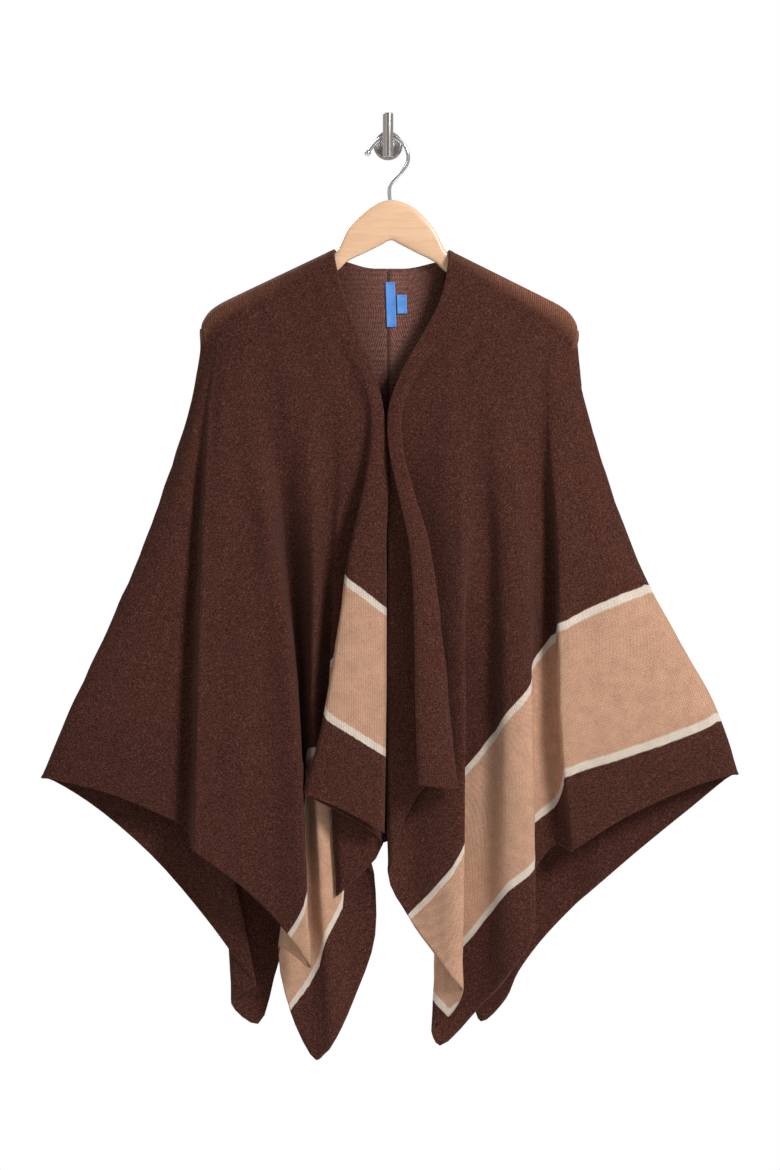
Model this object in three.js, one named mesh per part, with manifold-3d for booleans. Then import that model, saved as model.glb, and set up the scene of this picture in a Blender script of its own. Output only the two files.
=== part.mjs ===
// Knitted open-front poncho sweater on a wooden hanger, hung from a metal wall peg.
// Units are millimetres. +X is to the viewer's right, +Z is up and the wall is the plane Y = 0.
// The origin is the middle of the peg's wall plate, on the wall. "Depth" below is the distance
// in front of the wall, so a point at depth d has Y = -d.
import * as THREE from "three";
import { mergeVertices } from "three/addons/utils/BufferGeometryUtils.js";
import Module from "manifold-3d";

const wasm = await Module();
wasm.setup();

// Cloth
const WALL = 2;                   // thickness of the knitted wall
const SEAM_GAP = 0.3;             // gap between pieces that touch
const COLUMNS_PER_SPAN = 2;       // mesh columns between two neighbouring fold lines
const ROWS_PER_SPAN = [3, 1, 2, 4, 3, 5];  // mesh rows between two stations, from the shoulder down

// Stations: the heights at which every fold line is placed
const BUST_Z = -295;
const WAIST_Z = -460;
const LOW_Z = -630;
const UPPER_SHARE = 0.3;          // the upper station, as a share of the way from shoulder to bust

// Shoulder line, over the hanger's arm
const RIDGE_DEPTH = 24;           // depth of the hanger's middle plane
const CREST_DROP = 7;             // the cloth turns down this far below the ridge
const CREST_SPREAD = 10.2;        // and this far in front of and behind it

// Side fold, where front and back of a wing meet
const FOLD_INSET = 5;
const FOLD_HALF = 5;
const FOLD_TOP_SHARE = 0.4;       // share of the inset at the shoulder, where the fold begins

// How much of its sideways swing a back fold line has made at the upper and bust stations
const BACK_SWING = { upper: 0.05, bust: 0.21 };

// Depth of the back at the upper and bust stations
const BACK_DEPTH = { upper: 13, bust: 13 };

// Each row is one fold line of a front, from the front opening to the side fold.
// along: place on the shoulder, 0 at the neck and 1 at the arm's tip.
// x..., d...: place across and depth at the upper, bust, waist and low stations.
// xEnd, zEnd, dEnd: where the line meets the lower edge.
const FRONT_COLUMNS = ["along", "xUp", "dUp", "xBust", "dBust", "xWaist", "dWaist",
  "xLow", "dLow", "xEnd", "zEnd", "dEnd"];

const LEFT_FRONT = readTable(FRONT_COLUMNS, {
  openingEdge:  [0,     -48,  38,   -6,   46,   -4,   62,   -4,   66,   -5.5, -759,  68],
  stripMiddle:  [0.08,  -58,  39,   -10,  50,   -23,  68,   -37,  72,   -48,  -734,  72],
  stripFold:    [0.15,  -66,  40,   -18,  51,   -43,  66,   -70,  70,   -93,  -716,  68],
  underStrip:   [0.19,  -71,  40,   -21,  48,   -36,  55,   -46,  58,   -48,  -740,  58],
  innerFold:    [0.24,  -77,  40,   -26,  45,   -30,  46,   -17,  48,   -6,   -773,  50],
  hemTurn:      [0.3,   -86,  41,   -41,  45,   -54,  41,   -65,  43,   -56,  -815,  47],
  hemBack:      [0.34,  -93,  41,   -52,  46,   -58,  41,   -54,  36,   -22,  -797,  38],
  hemOuter:     [0.38,  -99,  42,   -62,  47,   -63,  43,   -58,  36,   -14,  -873,  34],
  hemLower:     [0.43,  -106, 42,   -75,  49,   -70,  48,   -69,  40,   -40,  -948,  38],
  smallRidge:   [0.48,  -114, 42,   -90,  50,   -80,  54,   -82,  50,   -62,  -994,  50],
  tipValley:    [0.53,  -122, 42,   -104, 50,   -92,  48,   -88,  42,   -70,  -1003, 40],
  cornerTip:    [0.565, -129, 42,   -113, 49,   -100, 43,   -91,  38,   -79,  -1010, 43],
  cornerOuter:  [0.6,   -137, 42,   -121, 48,   -106, 40,   -94,  35,   -108, -955,  44],
  deepValley:   [0.64,  -146, 42,   -131, 48,   -112, 38,   -97,  32,   -119, -885,  38],
  panelEdge:    [0.7,   -158, 42,   -152, 50,   -123, 62,   -100, 68,   -85,  -906,  72],
  softValley:   [0.79,  -170, 41,   -167, 50,   -146, 60,   -130, 62,   -120, -857,  66],
  panelMiddle:  [0.86,  -179, 40,   -183, 50,   -174, 62,   -166, 66,   -160, -818,  68],
  wingEdge:     [0.92,  -188, 38,   -196, 47,   -204, 62,   -209, 68,   -212, -779,  72],
  wingValley:   [0.945, -192, 36,   -201, 42,   -212, 44,   -221, 44,   -222, -756,  46],
  wingInner:    [0.965, -196, 34,   -206, 42,   -227, 48,   -242, 50,   -249, -740,  52],
  wingMiddle:   [0.985, -200, 32,   -211, 40,   -251, 48,   -297, 52,   -311, -715,  52],
  sideFold:     [1,     -207, 26,   -219, 30,   -275, 36,   -351, 40,   -381, -700,  42],
});

const RIGHT_FRONT = readTable(FRONT_COLUMNS, {
  flapEdge:     [0,     58,   38,   4,    49,   25,   77,   30,   86,   33,   -705,  88],
  flapMiddle:   [0.06,  66,   39,   7,    52,   36,   82,   49.5, 92,   54,   -708,  94],
  flapFold:     [0.12,  74,   40,   13,   53,   48,   77,   67,   84,   75,   -709,  86],
  flapUnder:    [0.17,  80,   41,   15,   49,   35,   64,   40,   68,   46,   -702,  68],
  pleatFold:    [0.23,  87,   42,   10,   44,   3.5,  54,   3,    57,   3,    -803,  58],
  hemInner:     [0.33,  98,   43,   31,   44,   25,   46,   22,   48,   23,   -852,  54],
  hemMiddle:    [0.43,  110,  43,   54,   48,   52,   54,   47,   58,   50,   -890,  66],
  hemCurl:      [0.51,  121,  43,   72,   53,   69,   62,   70,   68,   71,   -916,  74],
  bandEdge:     [0.58,  131,  43,   86,   54,   82,   66,   84,   70,   81,   -930,  70],
  cornerFold:   [0.62,  137,  42,   94,   53,   89,   57,   66,   50,   49,   -960,  52],
  cornerTip:    [0.65,  141,  42,   100,  52,   94,   53,   74,   43,   57,   -994,  44],
  bandValley:   [0.69,  147,  42,   109,  52,   111,  52,   111,  46,   105,  -947,  46],
  bandRidge:    [0.74,  155,  41,   121,  52,   129,  63,   130,  66,   132,  -915,  65],
  armEdge:      [0.8,   165,  40,   139,  51,   151,  62,   157,  64,   161,  -865,  64],
  armUnder:     [0.85,  173,  39,   153,  48,   160,  53,   158,  50,   155,  -817,  50],
  cuffValley:   [0.9,   180,  37,   168,  44,   178,  46,   181,  44,   184,  -773,  46],
  cuffFold:     [0.93,  186,  36,   178,  45,   187,  60,   189,  64,   202,  -778,  62],
  cuffInner:    [0.96,  192,  34,   191,  44,   217,  58,   242,  62,   257,  -744,  60],
  cuffMiddle:   [0.985, 200,  32,   206,  40,   246,  52,   308,  56,   332,  -710,  54],
  sideFold:     [1,     207,  26,   219,  30,   274,  36,   363,  42,   385,  -696,  44],
});

// Each row is one fold line of a back, from the side fold to the centre seam. "along" is below 0
// on the neckline, where -1 is the centre seam.
const BACK_COLUMNS = ["along", "xWaist", "dWaist", "xLow", "dLow", "xEnd", "zEnd", "dEnd"];

const LEFT_BACK = readTable(BACK_COLUMNS, {
  wingMiddle:   [0.985, -253, 26,   -317, 30,   -330, -727,  30],
  wingInner:    [0.965, -234, 21,   -279, 25,   -262, -785,  25],
  wingEdge:     [0.945, -217, 18,   -244, 20,   -200, -857,  22],
  pointFold:    [0.92,  -196, 20,   -200, 26,   -146, -928,  34],
  pointOuter:   [0.86,  -176, 16,   -186, 18,   -172, -950,  24],
  pointTip:     [0.79,  -154, 14,   -158, 14,   -144, -973,  16],
  pointInner:   [0.7,   -134, 14,   -136, 13,   -121, -905,  13],
  hemRidge:     [0.64,  -118, 17,   -118, 19,   -108, -880,  20],
  hemValley:    [0.565, -100, 14,   -98,  13,   -84,  -896,  12],
  hemMiddle:    [0.48,  -80,  18,   -76,  20,   -62,  -872,  22],
  hemInner:     [0.38,  -58,  14,   -56,  13,   -42,  -842,  12],
  hemSoft:      [0.24,  -40,  16,   -38,  17,   -27,  -806,  18],
  neckCorner:   [0,     -27,  13,   -24,  13,   -17,  -781,  13],
  neckSide:     [-0.5,  -14,  12,   -12,  12,   -9,   -774,  12],
  centreSeam:   [-1,    -0.15, 12,  -0.15, 12,  -0.15, -771, 12],
});

const RIGHT_BACK = readTable(BACK_COLUMNS, {
  wingMiddle:   [0.985, 252,  26,   321,  30,   334,  -733,  30],
  wingInner:    [0.96,  233,  20,   277,  24,   277,  -780,  24],
  cuffBack:     [0.93,  214,  17,   233,  20,   233,  -818,  21],
  armInner:     [0.90,  200,  14,   210,  15,   206,  -842,  15],
  armValley:    [0.85,  178,  15,   180,  16,   166,  -884,  17],
  armRidge:     [0.80,  158,  19,   157,  22,   144,  -914,  23],
  bandBack:     [0.74,  139,  18,   136,  20,   130,  -945,  22],
  cornerTip:    [0.69,  124,  15,   121,  16,   103,  -970,  18],
  hemOuter:     [0.62,  108,  12,   103,  11,   86,   -927,  12],
  hemRidge:     [0.51,  88,   16,   84,   18,   70,   -883,  20],
  hemValley:    [0.43,  70,   18,   66,   22,   57,   -850,  24],
  hemMiddle:    [0.23,  51,   14,   48,   14,   41,   -823,  14],
  hemInner:     [0.12,  33,   12,   32,   12,   26,   -801,  12],
  neckCorner:   [0,     26,   12,   25,   12,   20,   -789,  12],
  neckSide:     [-0.5,  11,   12,   10,   12,   8,    -776,  12],
  centreSeam:   [-1,    0.15, 12,   0.15, 12,   0.15, -771,  12],
});

// Where each panel's shoulder line and neckline run
// (armBend: share of the drop that comes in the shoulder's last part)
const LEFT_SHOULDER = {
  neckX: -59, neckZ: -117, tipX: -203, tipZ: -197, armBend: 0.18, seamX: -SEAM_GAP / 2,
};
const RIGHT_SHOULDER = {
  neckX: 67, neckZ: -118, tipX: 207, tipZ: -199, armBend: 0.1, seamX: SEAM_GAP / 2,
};
const ARM_BEND_POWER = 8;
const NECK_SEAM_Z = -137;         // height of the neckline at the centre seam
const NECK_SEAM_DEPTH = 11;
const NECK_SIDE_DEPTH = 13;       // and behind the arm, beside the neck corner
const NECK_TURN = 0.035;          // share of the neckline in which it turns down behind the arm
const NECK_TURN_DROP = 7;
const NECK_CREST_SHARE = 0.4;     // how far back the turned neckline has come at the crest
const NECK_ALONGS = [-0.018, -0.035, -0.3, -0.65, -1];

// Labels at the inside of the back neck
const LABEL_THICK = 1;
const LABEL_ACROSS = 4;           // mesh steps
const LABEL_DOWN = 8;
const NECK_LABEL = { x: 2.4, top: -152, width: 10.5, height: 50, tilt: 0.03 };
const CARE_LABEL = { x: 15, top: -166, width: 11, height: 21, tilt: 0.03 };

// Hanger
const ARM_THICK = 11;
const ARM_CLEARANCE = 2.3;        // the arm's top lies this far below the middle of the cloth
const ARM_NECK_DROP = 1.2;        // and this much more where it leaves the cloth at the neck
const ARM_HEIGHT = 22;            // at the neck
const ARM_TIP_HEIGHT = 15;
const ARM_ROUNDNESS = 0.9;        // 1 is an ellipse, and less is squarer
const ARM_SIDES = 14;
const ARM_STEPS = 2;              // sections between two stations
const ARM_ALONGS = [0.965, 0.945, 0.88, 0.7, 0.35, 0];
const ARM_END_SIZES = [0.45, 0.75, 0.92];   // the tips are rounded off over the first sections
const HANGER_CROWN_X = 3;
const HANGER_CROWN_Z = -64;
// Sections of the crown: place across, top and height
const HANGER_CROWN = {
  leftRise:   [-44, -94, 30],
  leftCrown:  [-24, -75, 35],
  middle:     [HANGER_CROWN_X, HANGER_CROWN_Z, 37],
  rightCrown: [30, -73, 36],
  rightRise:  [51, -95, 30],
};

// Hook of bent wire, in the hanger's middle plane: places across and heights
const WIRE_RADIUS = 2.1;
const WIRE_STEPS = 44;
const HOOK_BALL = { x: -22.5, z: -10, radius: 3.6 };

// Wall peg
const PLATE_RADIUS = 16;
const PLATE_THICK = 6;
const PLATE_CHAMFER = 2;
const POST_RADIUS = 5;
const KNOB_RADIUS = 5.8;
const KNOB_DEPTH = 40;
const KNOB_TOP = 32.5;
const KNOB_BOTTOM = -16.5;
const KNOB_CHAMFER = 1;
const POST_FILLET = 1;
const ROUND_SIDES = 32;

function readTable(columns, rows) {
  const named = (row) => Object.fromEntries(columns.map((name, i) => [name, row[i]]));
  return Object.values(rows).map(named);
}

function mix(a, b, share) {
  return a + (b - a) * share;
}

function point(x, z, depth) {
  return new THREE.Vector3(x, -depth, z);
}

// Points along a smooth curve through the given ones; spans[i] steps between point i and i + 1
function smooth(points, spans) {
  const curve = new THREE.CatmullRomCurve3(points, false, "centripetal");
  const last = points.length - 1;
  const out = [];
  spans.forEach((steps, span) => {
    for (let step = 0; step < steps; step += 1) {
      out.push(curve.getPoint((span + step / steps) / last));
    }
  });
  out.push(points[last].clone());
  return out;
}

// Value of a table's column at any "along", by straight lines between its rows
function columnAt(rows, name, along) {
  const after = rows.findIndex((row) => row.along <= along);
  if (after < 0) {
    return rows[rows.length - 1][name];
  }
  if (after === 0) {
    return rows[0][name];
  }
  const a = rows[after - 1];
  const b = rows[after];
  return mix(a[name], b[name], (a.along - along) / (a.along - b.along));
}

// Point of the shoulder ridge (along 0 to 1) or of the neckline (along 0 to -1)
function ridgePoint(shoulder, along) {
  if (along >= 0) {
    const bend = mix(along, along ** ARM_BEND_POWER, shoulder.armBend);
    const x = mix(shoulder.neckX, shoulder.tipX, along);
    return point(x, mix(shoulder.neckZ, shoulder.tipZ, bend), RIDGE_DEPTH);
  }
  const share = -along;
  const overArm = Math.min(1, share / NECK_TURN);
  const scoop = mix(shoulder.neckZ, NECK_SEAM_Z, Math.sin(share * Math.PI / 2));
  const turned = NECK_TURN_DROP * overArm ** 2 * (1 - share);
  const depth = mix(RIDGE_DEPTH, mix(NECK_SIDE_DEPTH, NECK_SEAM_DEPTH, share), overArm);
  return point(mix(shoulder.neckX, shoulder.seamX, share), scoop - turned, depth);
}

function crestPoint(ridge, side, spread) {
  return new THREE.Vector3(ridge.x, ridge.y - side * spread, ridge.z - CREST_DROP);
}

// The fold line's points from the shoulder down, after the ridge itself
function frontLine(shoulder, row) {
  const ridge = ridgePoint(shoulder, row.along);
  const upperZ = mix(ridge.z, BUST_Z, UPPER_SHARE);
  const spread = row.along === 1 ? 0 : CREST_SPREAD;
  return [
    ridge,
    crestPoint(ridge, 1, spread),
    point(row.xUp, upperZ, row.dUp),
    point(row.xBust, BUST_Z, row.dBust),
    point(row.xWaist, WAIST_Z, row.dWaist),
    point(row.xLow, LOW_Z, row.dLow),
    point(row.xEnd, row.zEnd, row.dEnd),
  ];
}

function backLine(shoulder, row) {
  const ridge = ridgePoint(shoulder, row.along);
  const upperZ = mix(ridge.z, BUST_Z, UPPER_SHARE);
  const crest = row.along >= 0
    ? crestPoint(ridge, -1, CREST_SPREAD)
    : point(ridge.x, ridge.z - CREST_DROP, mix(-ridge.y, BACK_DEPTH.upper, NECK_CREST_SHARE));
  return [
    ridge,
    crest,
    point(mix(ridge.x, row.xWaist, BACK_SWING.upper), upperZ, BACK_DEPTH.upper),
    point(mix(ridge.x, row.xWaist, BACK_SWING.bust), BUST_Z, BACK_DEPTH.bust),
    point(row.xWaist, WAIST_Z, row.dWaist),
    point(row.xLow, LOW_Z, row.dLow),
    point(row.xEnd, row.zEnd, row.dEnd),
  ];
}

// A fold line close to the side fold, set inward and to the front (side 1) or back (side -1)
function besideFold(foldLine, side) {
  const inward = -Math.sign(foldLine[0].x) * FOLD_INSET;
  return foldLine.map((p, i) => {
    const across = inward * (i < 2 ? FOLD_TOP_SHARE : 1);
    const forward = i === 0 ? 0 : side * FOLD_HALF;
    return new THREE.Vector3(p.x + across, p.y - forward, p.z);
  });
}

// The panel's middle surface: rows of points from the shoulder to the lower edge, each running
// from the front opening, round the side fold, to the centre seam
function panelSurface(shoulder, frontRows, backRows) {
  const fold = frontRows[frontRows.length - 1];
  const foldLine = frontLine(shoulder, fold);
  const frontOnly = frontRows.slice(0, -1);
  const backRowsAt = frontOnly.map((row) => row.along).reverse().concat(NECK_ALONGS);
  const lines = [
    ...frontOnly.map((row) => frontLine(shoulder, row)),
    besideFold(foldLine, 1),
    foldLine,
    besideFold(foldLine, -1),
    ...backRowsAt.map((along) => {
      const row = { along };
      BACK_COLUMNS.slice(1).forEach((name) => {
        row[name] = columnAt(backRows, name, along);
      });
      return backLine(shoulder, row);
    }),
  ];
  const columns = lines.map((line) => smooth(line, ROWS_PER_SPAN));
  const spans = lines.slice(1).map(() => COLUMNS_PER_SPAN);
  const grid = columns[0].map((_, j) => smooth(columns.map((column) => column[j]), spans));
  const foldColumn = (frontOnly.length + 1) * COLUMNS_PER_SPAN;
  return { grid, foldColumn };
}

// Gives the middle surface its wall and closes it along every free edge
function panelGeometry({ grid, foldColumn }) {
  const width = grid[0].length;
  const index = (i, j) => {
    const mirrored = 2 * foldColumn - i;
    return j === 0 && i > foldColumn && mirrored >= 0 ? mirrored : j * width + i;
  };
  const middle = grid.flat();
  const faces = [];
  for (let j = 0; j < grid.length - 1; j += 1) {
    for (let i = 0; i < width - 1; i += 1) {
      const corners = [index(i, j), index(i, j + 1), index(i + 1, j + 1), index(i + 1, j)];
      faces.push([corners[0], corners[1], corners[2]]);
      faces.push([corners[0], corners[2], corners[3]]);
    }
  }
  return thicken(middle, faces.filter((f) => new Set(f).size === 3), WALL);
}

// Closed wall of even thickness round a sheet of triangles
function thicken(middle, faces, thickness) {
  const normals = middle.map(() => new THREE.Vector3());
  for (const [a, b, c] of faces) {
    const ab = middle[b].clone().sub(middle[a]);
    const ac = middle[c].clone().sub(middle[a]);
    const n = ab.cross(ac);
    [a, b, c].forEach((i) => normals[i].add(n));
  }
  normals.forEach((n) => n.normalize());
  const half = thickness / 2;
  const outer = middle.map((p, i) => p.clone().addScaledVector(normals[i], half));
  const inner = middle.map((p, i) => p.clone().addScaledVector(normals[i], -half));
  const count = middle.length;
  const triangles = [];
  const open = new Map();
  for (const [a, b, c] of faces) {
    triangles.push(a, b, c, c + count, b + count, a + count);
    for (const [from, to] of [[a, b], [b, c], [c, a]]) {
      if (!open.delete(`${to}_${from}`)) {
        open.set(`${from}_${to}`, [from, to]);
      }
    }
  }
  for (const [from, to] of open.values()) {
    triangles.push(to, from, from + count, to, from + count, to + count);
  }
  const geometry = new THREE.BufferGeometry();
  const positions = [...outer, ...inner].flatMap((p) => [p.x, p.y, p.z]);
  geometry.setAttribute("position", new THREE.Float32BufferAttribute(positions, 3));
  geometry.setIndex(triangles);
  return geometry;
}

// Depth of the backs' middle surface at a place of the neck, seen from the front
function backDepthAt(panels, x, z) {
  for (const { grid, foldColumn } of panels) {
    for (let j = 0; j < grid.length - 1; j += 1) {
      for (let i = foldColumn; i < grid[0].length - 1; i += 1) {
        const quad = [grid[j][i], grid[j + 1][i], grid[j + 1][i + 1], grid[j][i + 1]];
        for (const [p, q, r] of [[quad[0], quad[1], quad[2]], [quad[0], quad[2], quad[3]]]) {
          const area = (q.x - p.x) * (r.z - p.z) - (r.x - p.x) * (q.z - p.z);
          const u = ((x - p.x) * (r.z - p.z) - (r.x - p.x) * (z - p.z)) / area;
          const v = ((q.x - p.x) * (z - p.z) - (x - p.x) * (q.z - p.z)) / area;
          if (u >= 0 && v >= 0 && u + v <= 1) {
            return -(p.y + u * (q.y - p.y) + v * (r.y - p.y));
          }
        }
      }
    }
  }
  return BACK_DEPTH.upper;
}

// A label that follows the back neck, just in front of it
function labelGeometry(label, panels) {
  const lift = WALL / 2 + SEAM_GAP + LABEL_THICK;
  const middle = [];
  for (let j = 0; j <= LABEL_DOWN; j += 1) {
    for (let i = 0; i <= LABEL_ACROSS; i += 1) {
      const u = (i / LABEL_ACROSS - 0.5) * label.width;
      const v = j / LABEL_DOWN * label.height;
      const x = label.x + u + v * label.tilt;
      const z = label.top - v + u * label.tilt;
      middle.push(point(x, z, backDepthAt(panels, x, z) + lift));
    }
  }
  const faces = [];
  for (let j = 0; j < LABEL_DOWN; j += 1) {
    for (let i = 0; i < LABEL_ACROSS; i += 1) {
      const a = j * (LABEL_ACROSS + 1) + i;
      const b = a + LABEL_ACROSS + 1;
      faces.push([a, b, b + 1], [a, b + 1, a + 1]);
    }
  }
  return thicken(middle, faces, LABEL_THICK);
}

function toSolid(geometry) {
  const plain = geometry.clone();
  plain.deleteAttribute("normal");
  plain.deleteAttribute("uv");
  const merged = mergeVertices(plain, 1e-3);
  return new wasm.Manifold(new wasm.Mesh({
    numProp: 3,
    vertProperties: Float32Array.from(merged.attributes.position.array),
    triVerts: Uint32Array.from(merged.index.array),
  }));
}

function toGeometry(solid) {
  const mesh = solid.getMesh();
  const geometry = new THREE.BufferGeometry();
  geometry.setAttribute("position", new THREE.BufferAttribute(mesh.vertProperties, 3));
  geometry.setIndex(new THREE.BufferAttribute(mesh.triVerts, 1));
  return geometry;
}

// Wooden hanger: rounded sections from the left arm's tip to the right arm's tip, whose top
// follows the shoulder lines and rises to the crown between them
function hangerGeometry() {
  const arm = (shoulder) => ARM_ALONGS.map((along) => {
    const p = ridgePoint(shoulder, along);
    const top = p.z - ARM_CLEARANCE - (along === 0 ? ARM_NECK_DROP : 0);
    return point(p.x, top, mix(ARM_HEIGHT, ARM_TIP_HEIGHT, along));
  });
  const crown = Object.values(HANGER_CROWN).map(([x, top, height]) => point(x, top, height));
  const stations = [...arm(LEFT_SHOULDER), ...crown, ...arm(RIGHT_SHOULDER).reverse()];
  const rings = smooth(stations, stations.slice(1).map(() => ARM_STEPS));
  const positions = [];
  rings.forEach((ring, i) => {
    const fromEnd = Math.min(i, rings.length - 1 - i);
    const size = fromEnd < ARM_END_SIZES.length ? ARM_END_SIZES[fromEnd] : 1;
    const height = -ring.y;
    const middle = ring.z - height / 2;
    for (let k = 0; k < ARM_SIDES; k += 1) {
      const angle = 2 * Math.PI * (k + 0.5) / ARM_SIDES;
      const round = (value) => Math.sign(value) * Math.abs(value) ** ARM_ROUNDNESS;
      positions.push(ring.x, -RIDGE_DEPTH + round(Math.cos(angle)) * size * ARM_THICK / 2,
        middle + round(Math.sin(angle)) * size * height / 2);
    }
  });
  const triangles = [];
  for (let i = 0; i < rings.length - 1; i += 1) {
    for (let k = 0; k < ARM_SIDES; k += 1) {
      const a = i * ARM_SIDES + k;
      const b = i * ARM_SIDES + (k + 1) % ARM_SIDES;
      triangles.push(a, b, b + ARM_SIDES, a, b + ARM_SIDES, a + ARM_SIDES);
    }
  }
  const lastRing = (rings.length - 1) * ARM_SIDES;
  for (let k = 1; k < ARM_SIDES - 1; k += 1) {
    triangles.push(0, k + 1, k);
    triangles.push(lastRing, lastRing + k, lastRing + k + 1);
  }
  const geometry = new THREE.BufferGeometry();
  geometry.setAttribute("position", new THREE.Float32BufferAttribute(positions, 3));
  geometry.setIndex(triangles);
  return geometry;
}

// Hook of bent wire: up from the crown and over the peg's post, ending in a small ball
function hookGeometry() {
  const rest = POST_RADIUS + SEAM_GAP + WIRE_RADIUS;
  const route = [
    [2, HANGER_CROWN_Z + SEAM_GAP],
    [1.5, -50],
    [3, -44.5],
    [15, -31],
    [22, -19],
    [20.5, -6],
    [12.5, 4],
    [3, rest],
    [-7, 6.5],
    [-15, 0],
    [-21.5, -8.5],
  ].map(([x, z]) => point(x, z, RIDGE_DEPTH));
  const section = new THREE.Shape();
  section.absarc(0, 0, WIRE_RADIUS, 0, 2 * Math.PI, false);
  const wire = new THREE.ExtrudeGeometry(section, {
    extrudePath: new THREE.CatmullRomCurve3(route, false, "centripetal"),
    steps: WIRE_STEPS,
    curveSegments: 4,
    bevelEnabled: false,
  });
  const ball = new THREE.SphereGeometry(HOOK_BALL.radius, 12, 8);
  ball.translate(HOOK_BALL.x, -RIDGE_DEPTH, HOOK_BALL.z);
  return toGeometry(toSolid(wire).add(toSolid(ball)));
}

// Round plate on the wall with the post that carries the hook, turned about the Y axis
function plateGeometry() {
  const postEnd = KNOB_DEPTH - KNOB_RADIUS - SEAM_GAP;
  const profile = [
    [0, 0],
    [PLATE_RADIUS, 0],
    [PLATE_RADIUS, PLATE_THICK - PLATE_CHAMFER],
    [PLATE_RADIUS - PLATE_CHAMFER, PLATE_THICK],
    [POST_RADIUS + POST_FILLET, PLATE_THICK],
    [POST_RADIUS, PLATE_THICK + POST_FILLET],
    [POST_RADIUS, postEnd],
    [0, postEnd],
  ].map(([radius, depth]) => new THREE.Vector2(radius, depth));
  const geometry = new THREE.LatheGeometry(profile, ROUND_SIDES);
  geometry.rotateX(Math.PI);
  return geometry;
}

// Upright round bar that keeps the hook on the post
function knobGeometry() {
  const profile = [
    [0, KNOB_BOTTOM],
    [KNOB_RADIUS - KNOB_CHAMFER, KNOB_BOTTOM],
    [KNOB_RADIUS, KNOB_BOTTOM + KNOB_CHAMFER],
    [KNOB_RADIUS, KNOB_TOP - KNOB_CHAMFER],
    [KNOB_RADIUS - KNOB_CHAMFER, KNOB_TOP],
    [0, KNOB_TOP],
  ].map(([radius, height]) => new THREE.Vector2(radius, height));
  const geometry = new THREE.LatheGeometry(profile, ROUND_SIDES);
  geometry.rotateX(Math.PI / 2);
  geometry.translate(0, -KNOB_DEPTH, 0);
  return geometry;
}

function finish(name, color, roughness, metalness) {
  return new THREE.MeshStandardMaterial({ name, color, roughness, metalness });
}

const leftKnit = finish("brown knit, left", 0x4a2c24, 0.95, 0);
const rightKnit = finish("brown knit, right", 0x4d2e25, 0.95, 0);
const ribbon = finish("blue ribbon", 0x60a0eb, 0.6, 0);
const otherRibbon = finish("blue ribbon, small", 0x60a0eb, 0.6, 0);
const beech = finish("beech", 0xe2b682, 0.35, 0);
const chrome = finish("chrome", 0xc8c8ca, 0.12, 1);
const plateNickel = finish("nickel, plate", 0xa8a49e, 0.35, 1);
const knobNickel = finish("nickel, knob", 0xa8a49e, 0.3, 1);

const group = new THREE.Group();

function addPiece(name, geometry, material) {
  const mesh = new THREE.Mesh(geometry, material);
  mesh.name = name;
  group.add(mesh);
}

const leftPanel = panelSurface(LEFT_SHOULDER, LEFT_FRONT, LEFT_BACK);
const rightPanel = panelSurface(RIGHT_SHOULDER, RIGHT_FRONT, RIGHT_BACK);

addPiece("left_panel", panelGeometry(leftPanel), leftKnit);
addPiece("right_panel", panelGeometry(rightPanel), rightKnit);
addPiece("neck_label", labelGeometry(NECK_LABEL, [leftPanel, rightPanel]), ribbon);
addPiece("care_label", labelGeometry(CARE_LABEL, [leftPanel, rightPanel]), otherRibbon);
addPiece("hanger_wood", hangerGeometry(), beech);
addPiece("hanger_hook", hookGeometry(), chrome);
addPiece("peg_plate", plateGeometry(), plateNickel);
addPiece("peg_knob", knobGeometry(), knobNickel);

export default group;
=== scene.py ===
"""Looks of a knitted open-front poncho sweater on a wooden hanger and a metal wall peg.

Lengths in the tables and settings are millimetres, and every mesh is made in metres in the CAD frame:
+X to the viewer's right, +Z up, the wall is the plane Y = 0 and the front faces -Y. "Depth" is the
distance in front of the wall, so a point at depth d has Y = -d.
"""

import math

import bmesh
import bpy
import numpy as np
from bpy.props import FloatProperty, FloatVectorProperty, IntProperty, PointerProperty
from mathutils import Matrix, Vector, noise


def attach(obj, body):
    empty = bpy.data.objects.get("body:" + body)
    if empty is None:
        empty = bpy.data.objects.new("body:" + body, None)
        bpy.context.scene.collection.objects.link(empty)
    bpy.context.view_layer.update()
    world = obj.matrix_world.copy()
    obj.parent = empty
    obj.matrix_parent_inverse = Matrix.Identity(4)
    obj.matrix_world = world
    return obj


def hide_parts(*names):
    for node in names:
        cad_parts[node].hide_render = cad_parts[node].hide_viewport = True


bl_info = {
    "name": "Knitted Poncho on a Hanger",
    "version": (1, 0, 0),
    "blender": (4, 5, 0),
    "location": "View3D > Sidebar > Knitwear",
    "description": "Makes a striped knitted poncho, its labels, hanger, hook and wall peg",
    "category": "Add Mesh",
}

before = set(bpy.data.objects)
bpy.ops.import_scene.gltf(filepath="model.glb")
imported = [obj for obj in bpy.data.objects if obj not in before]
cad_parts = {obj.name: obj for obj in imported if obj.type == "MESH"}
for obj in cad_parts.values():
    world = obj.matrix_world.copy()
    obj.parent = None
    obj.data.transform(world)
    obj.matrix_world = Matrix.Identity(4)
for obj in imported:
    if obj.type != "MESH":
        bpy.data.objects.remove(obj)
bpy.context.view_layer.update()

MM = 0.001
SEAM_GAP = 0.3

# Stations: the heights at which every fold line is placed
BUST_Z = -295
WAIST_Z = -460
LOW_Z = -630
UPPER_SHARE = 0.3
RIDGE_DEPTH = 24
CREST_DROP = 7
CREST_SPREAD = 10.2
FOLD_INSET = 5
FOLD_HALF = 5
FOLD_TOP_SHARE = 0.4
BACK_SWING_UPPER = 0.05
BACK_SWING_BUST = 0.21
BACK_DEPTH = 13

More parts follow.
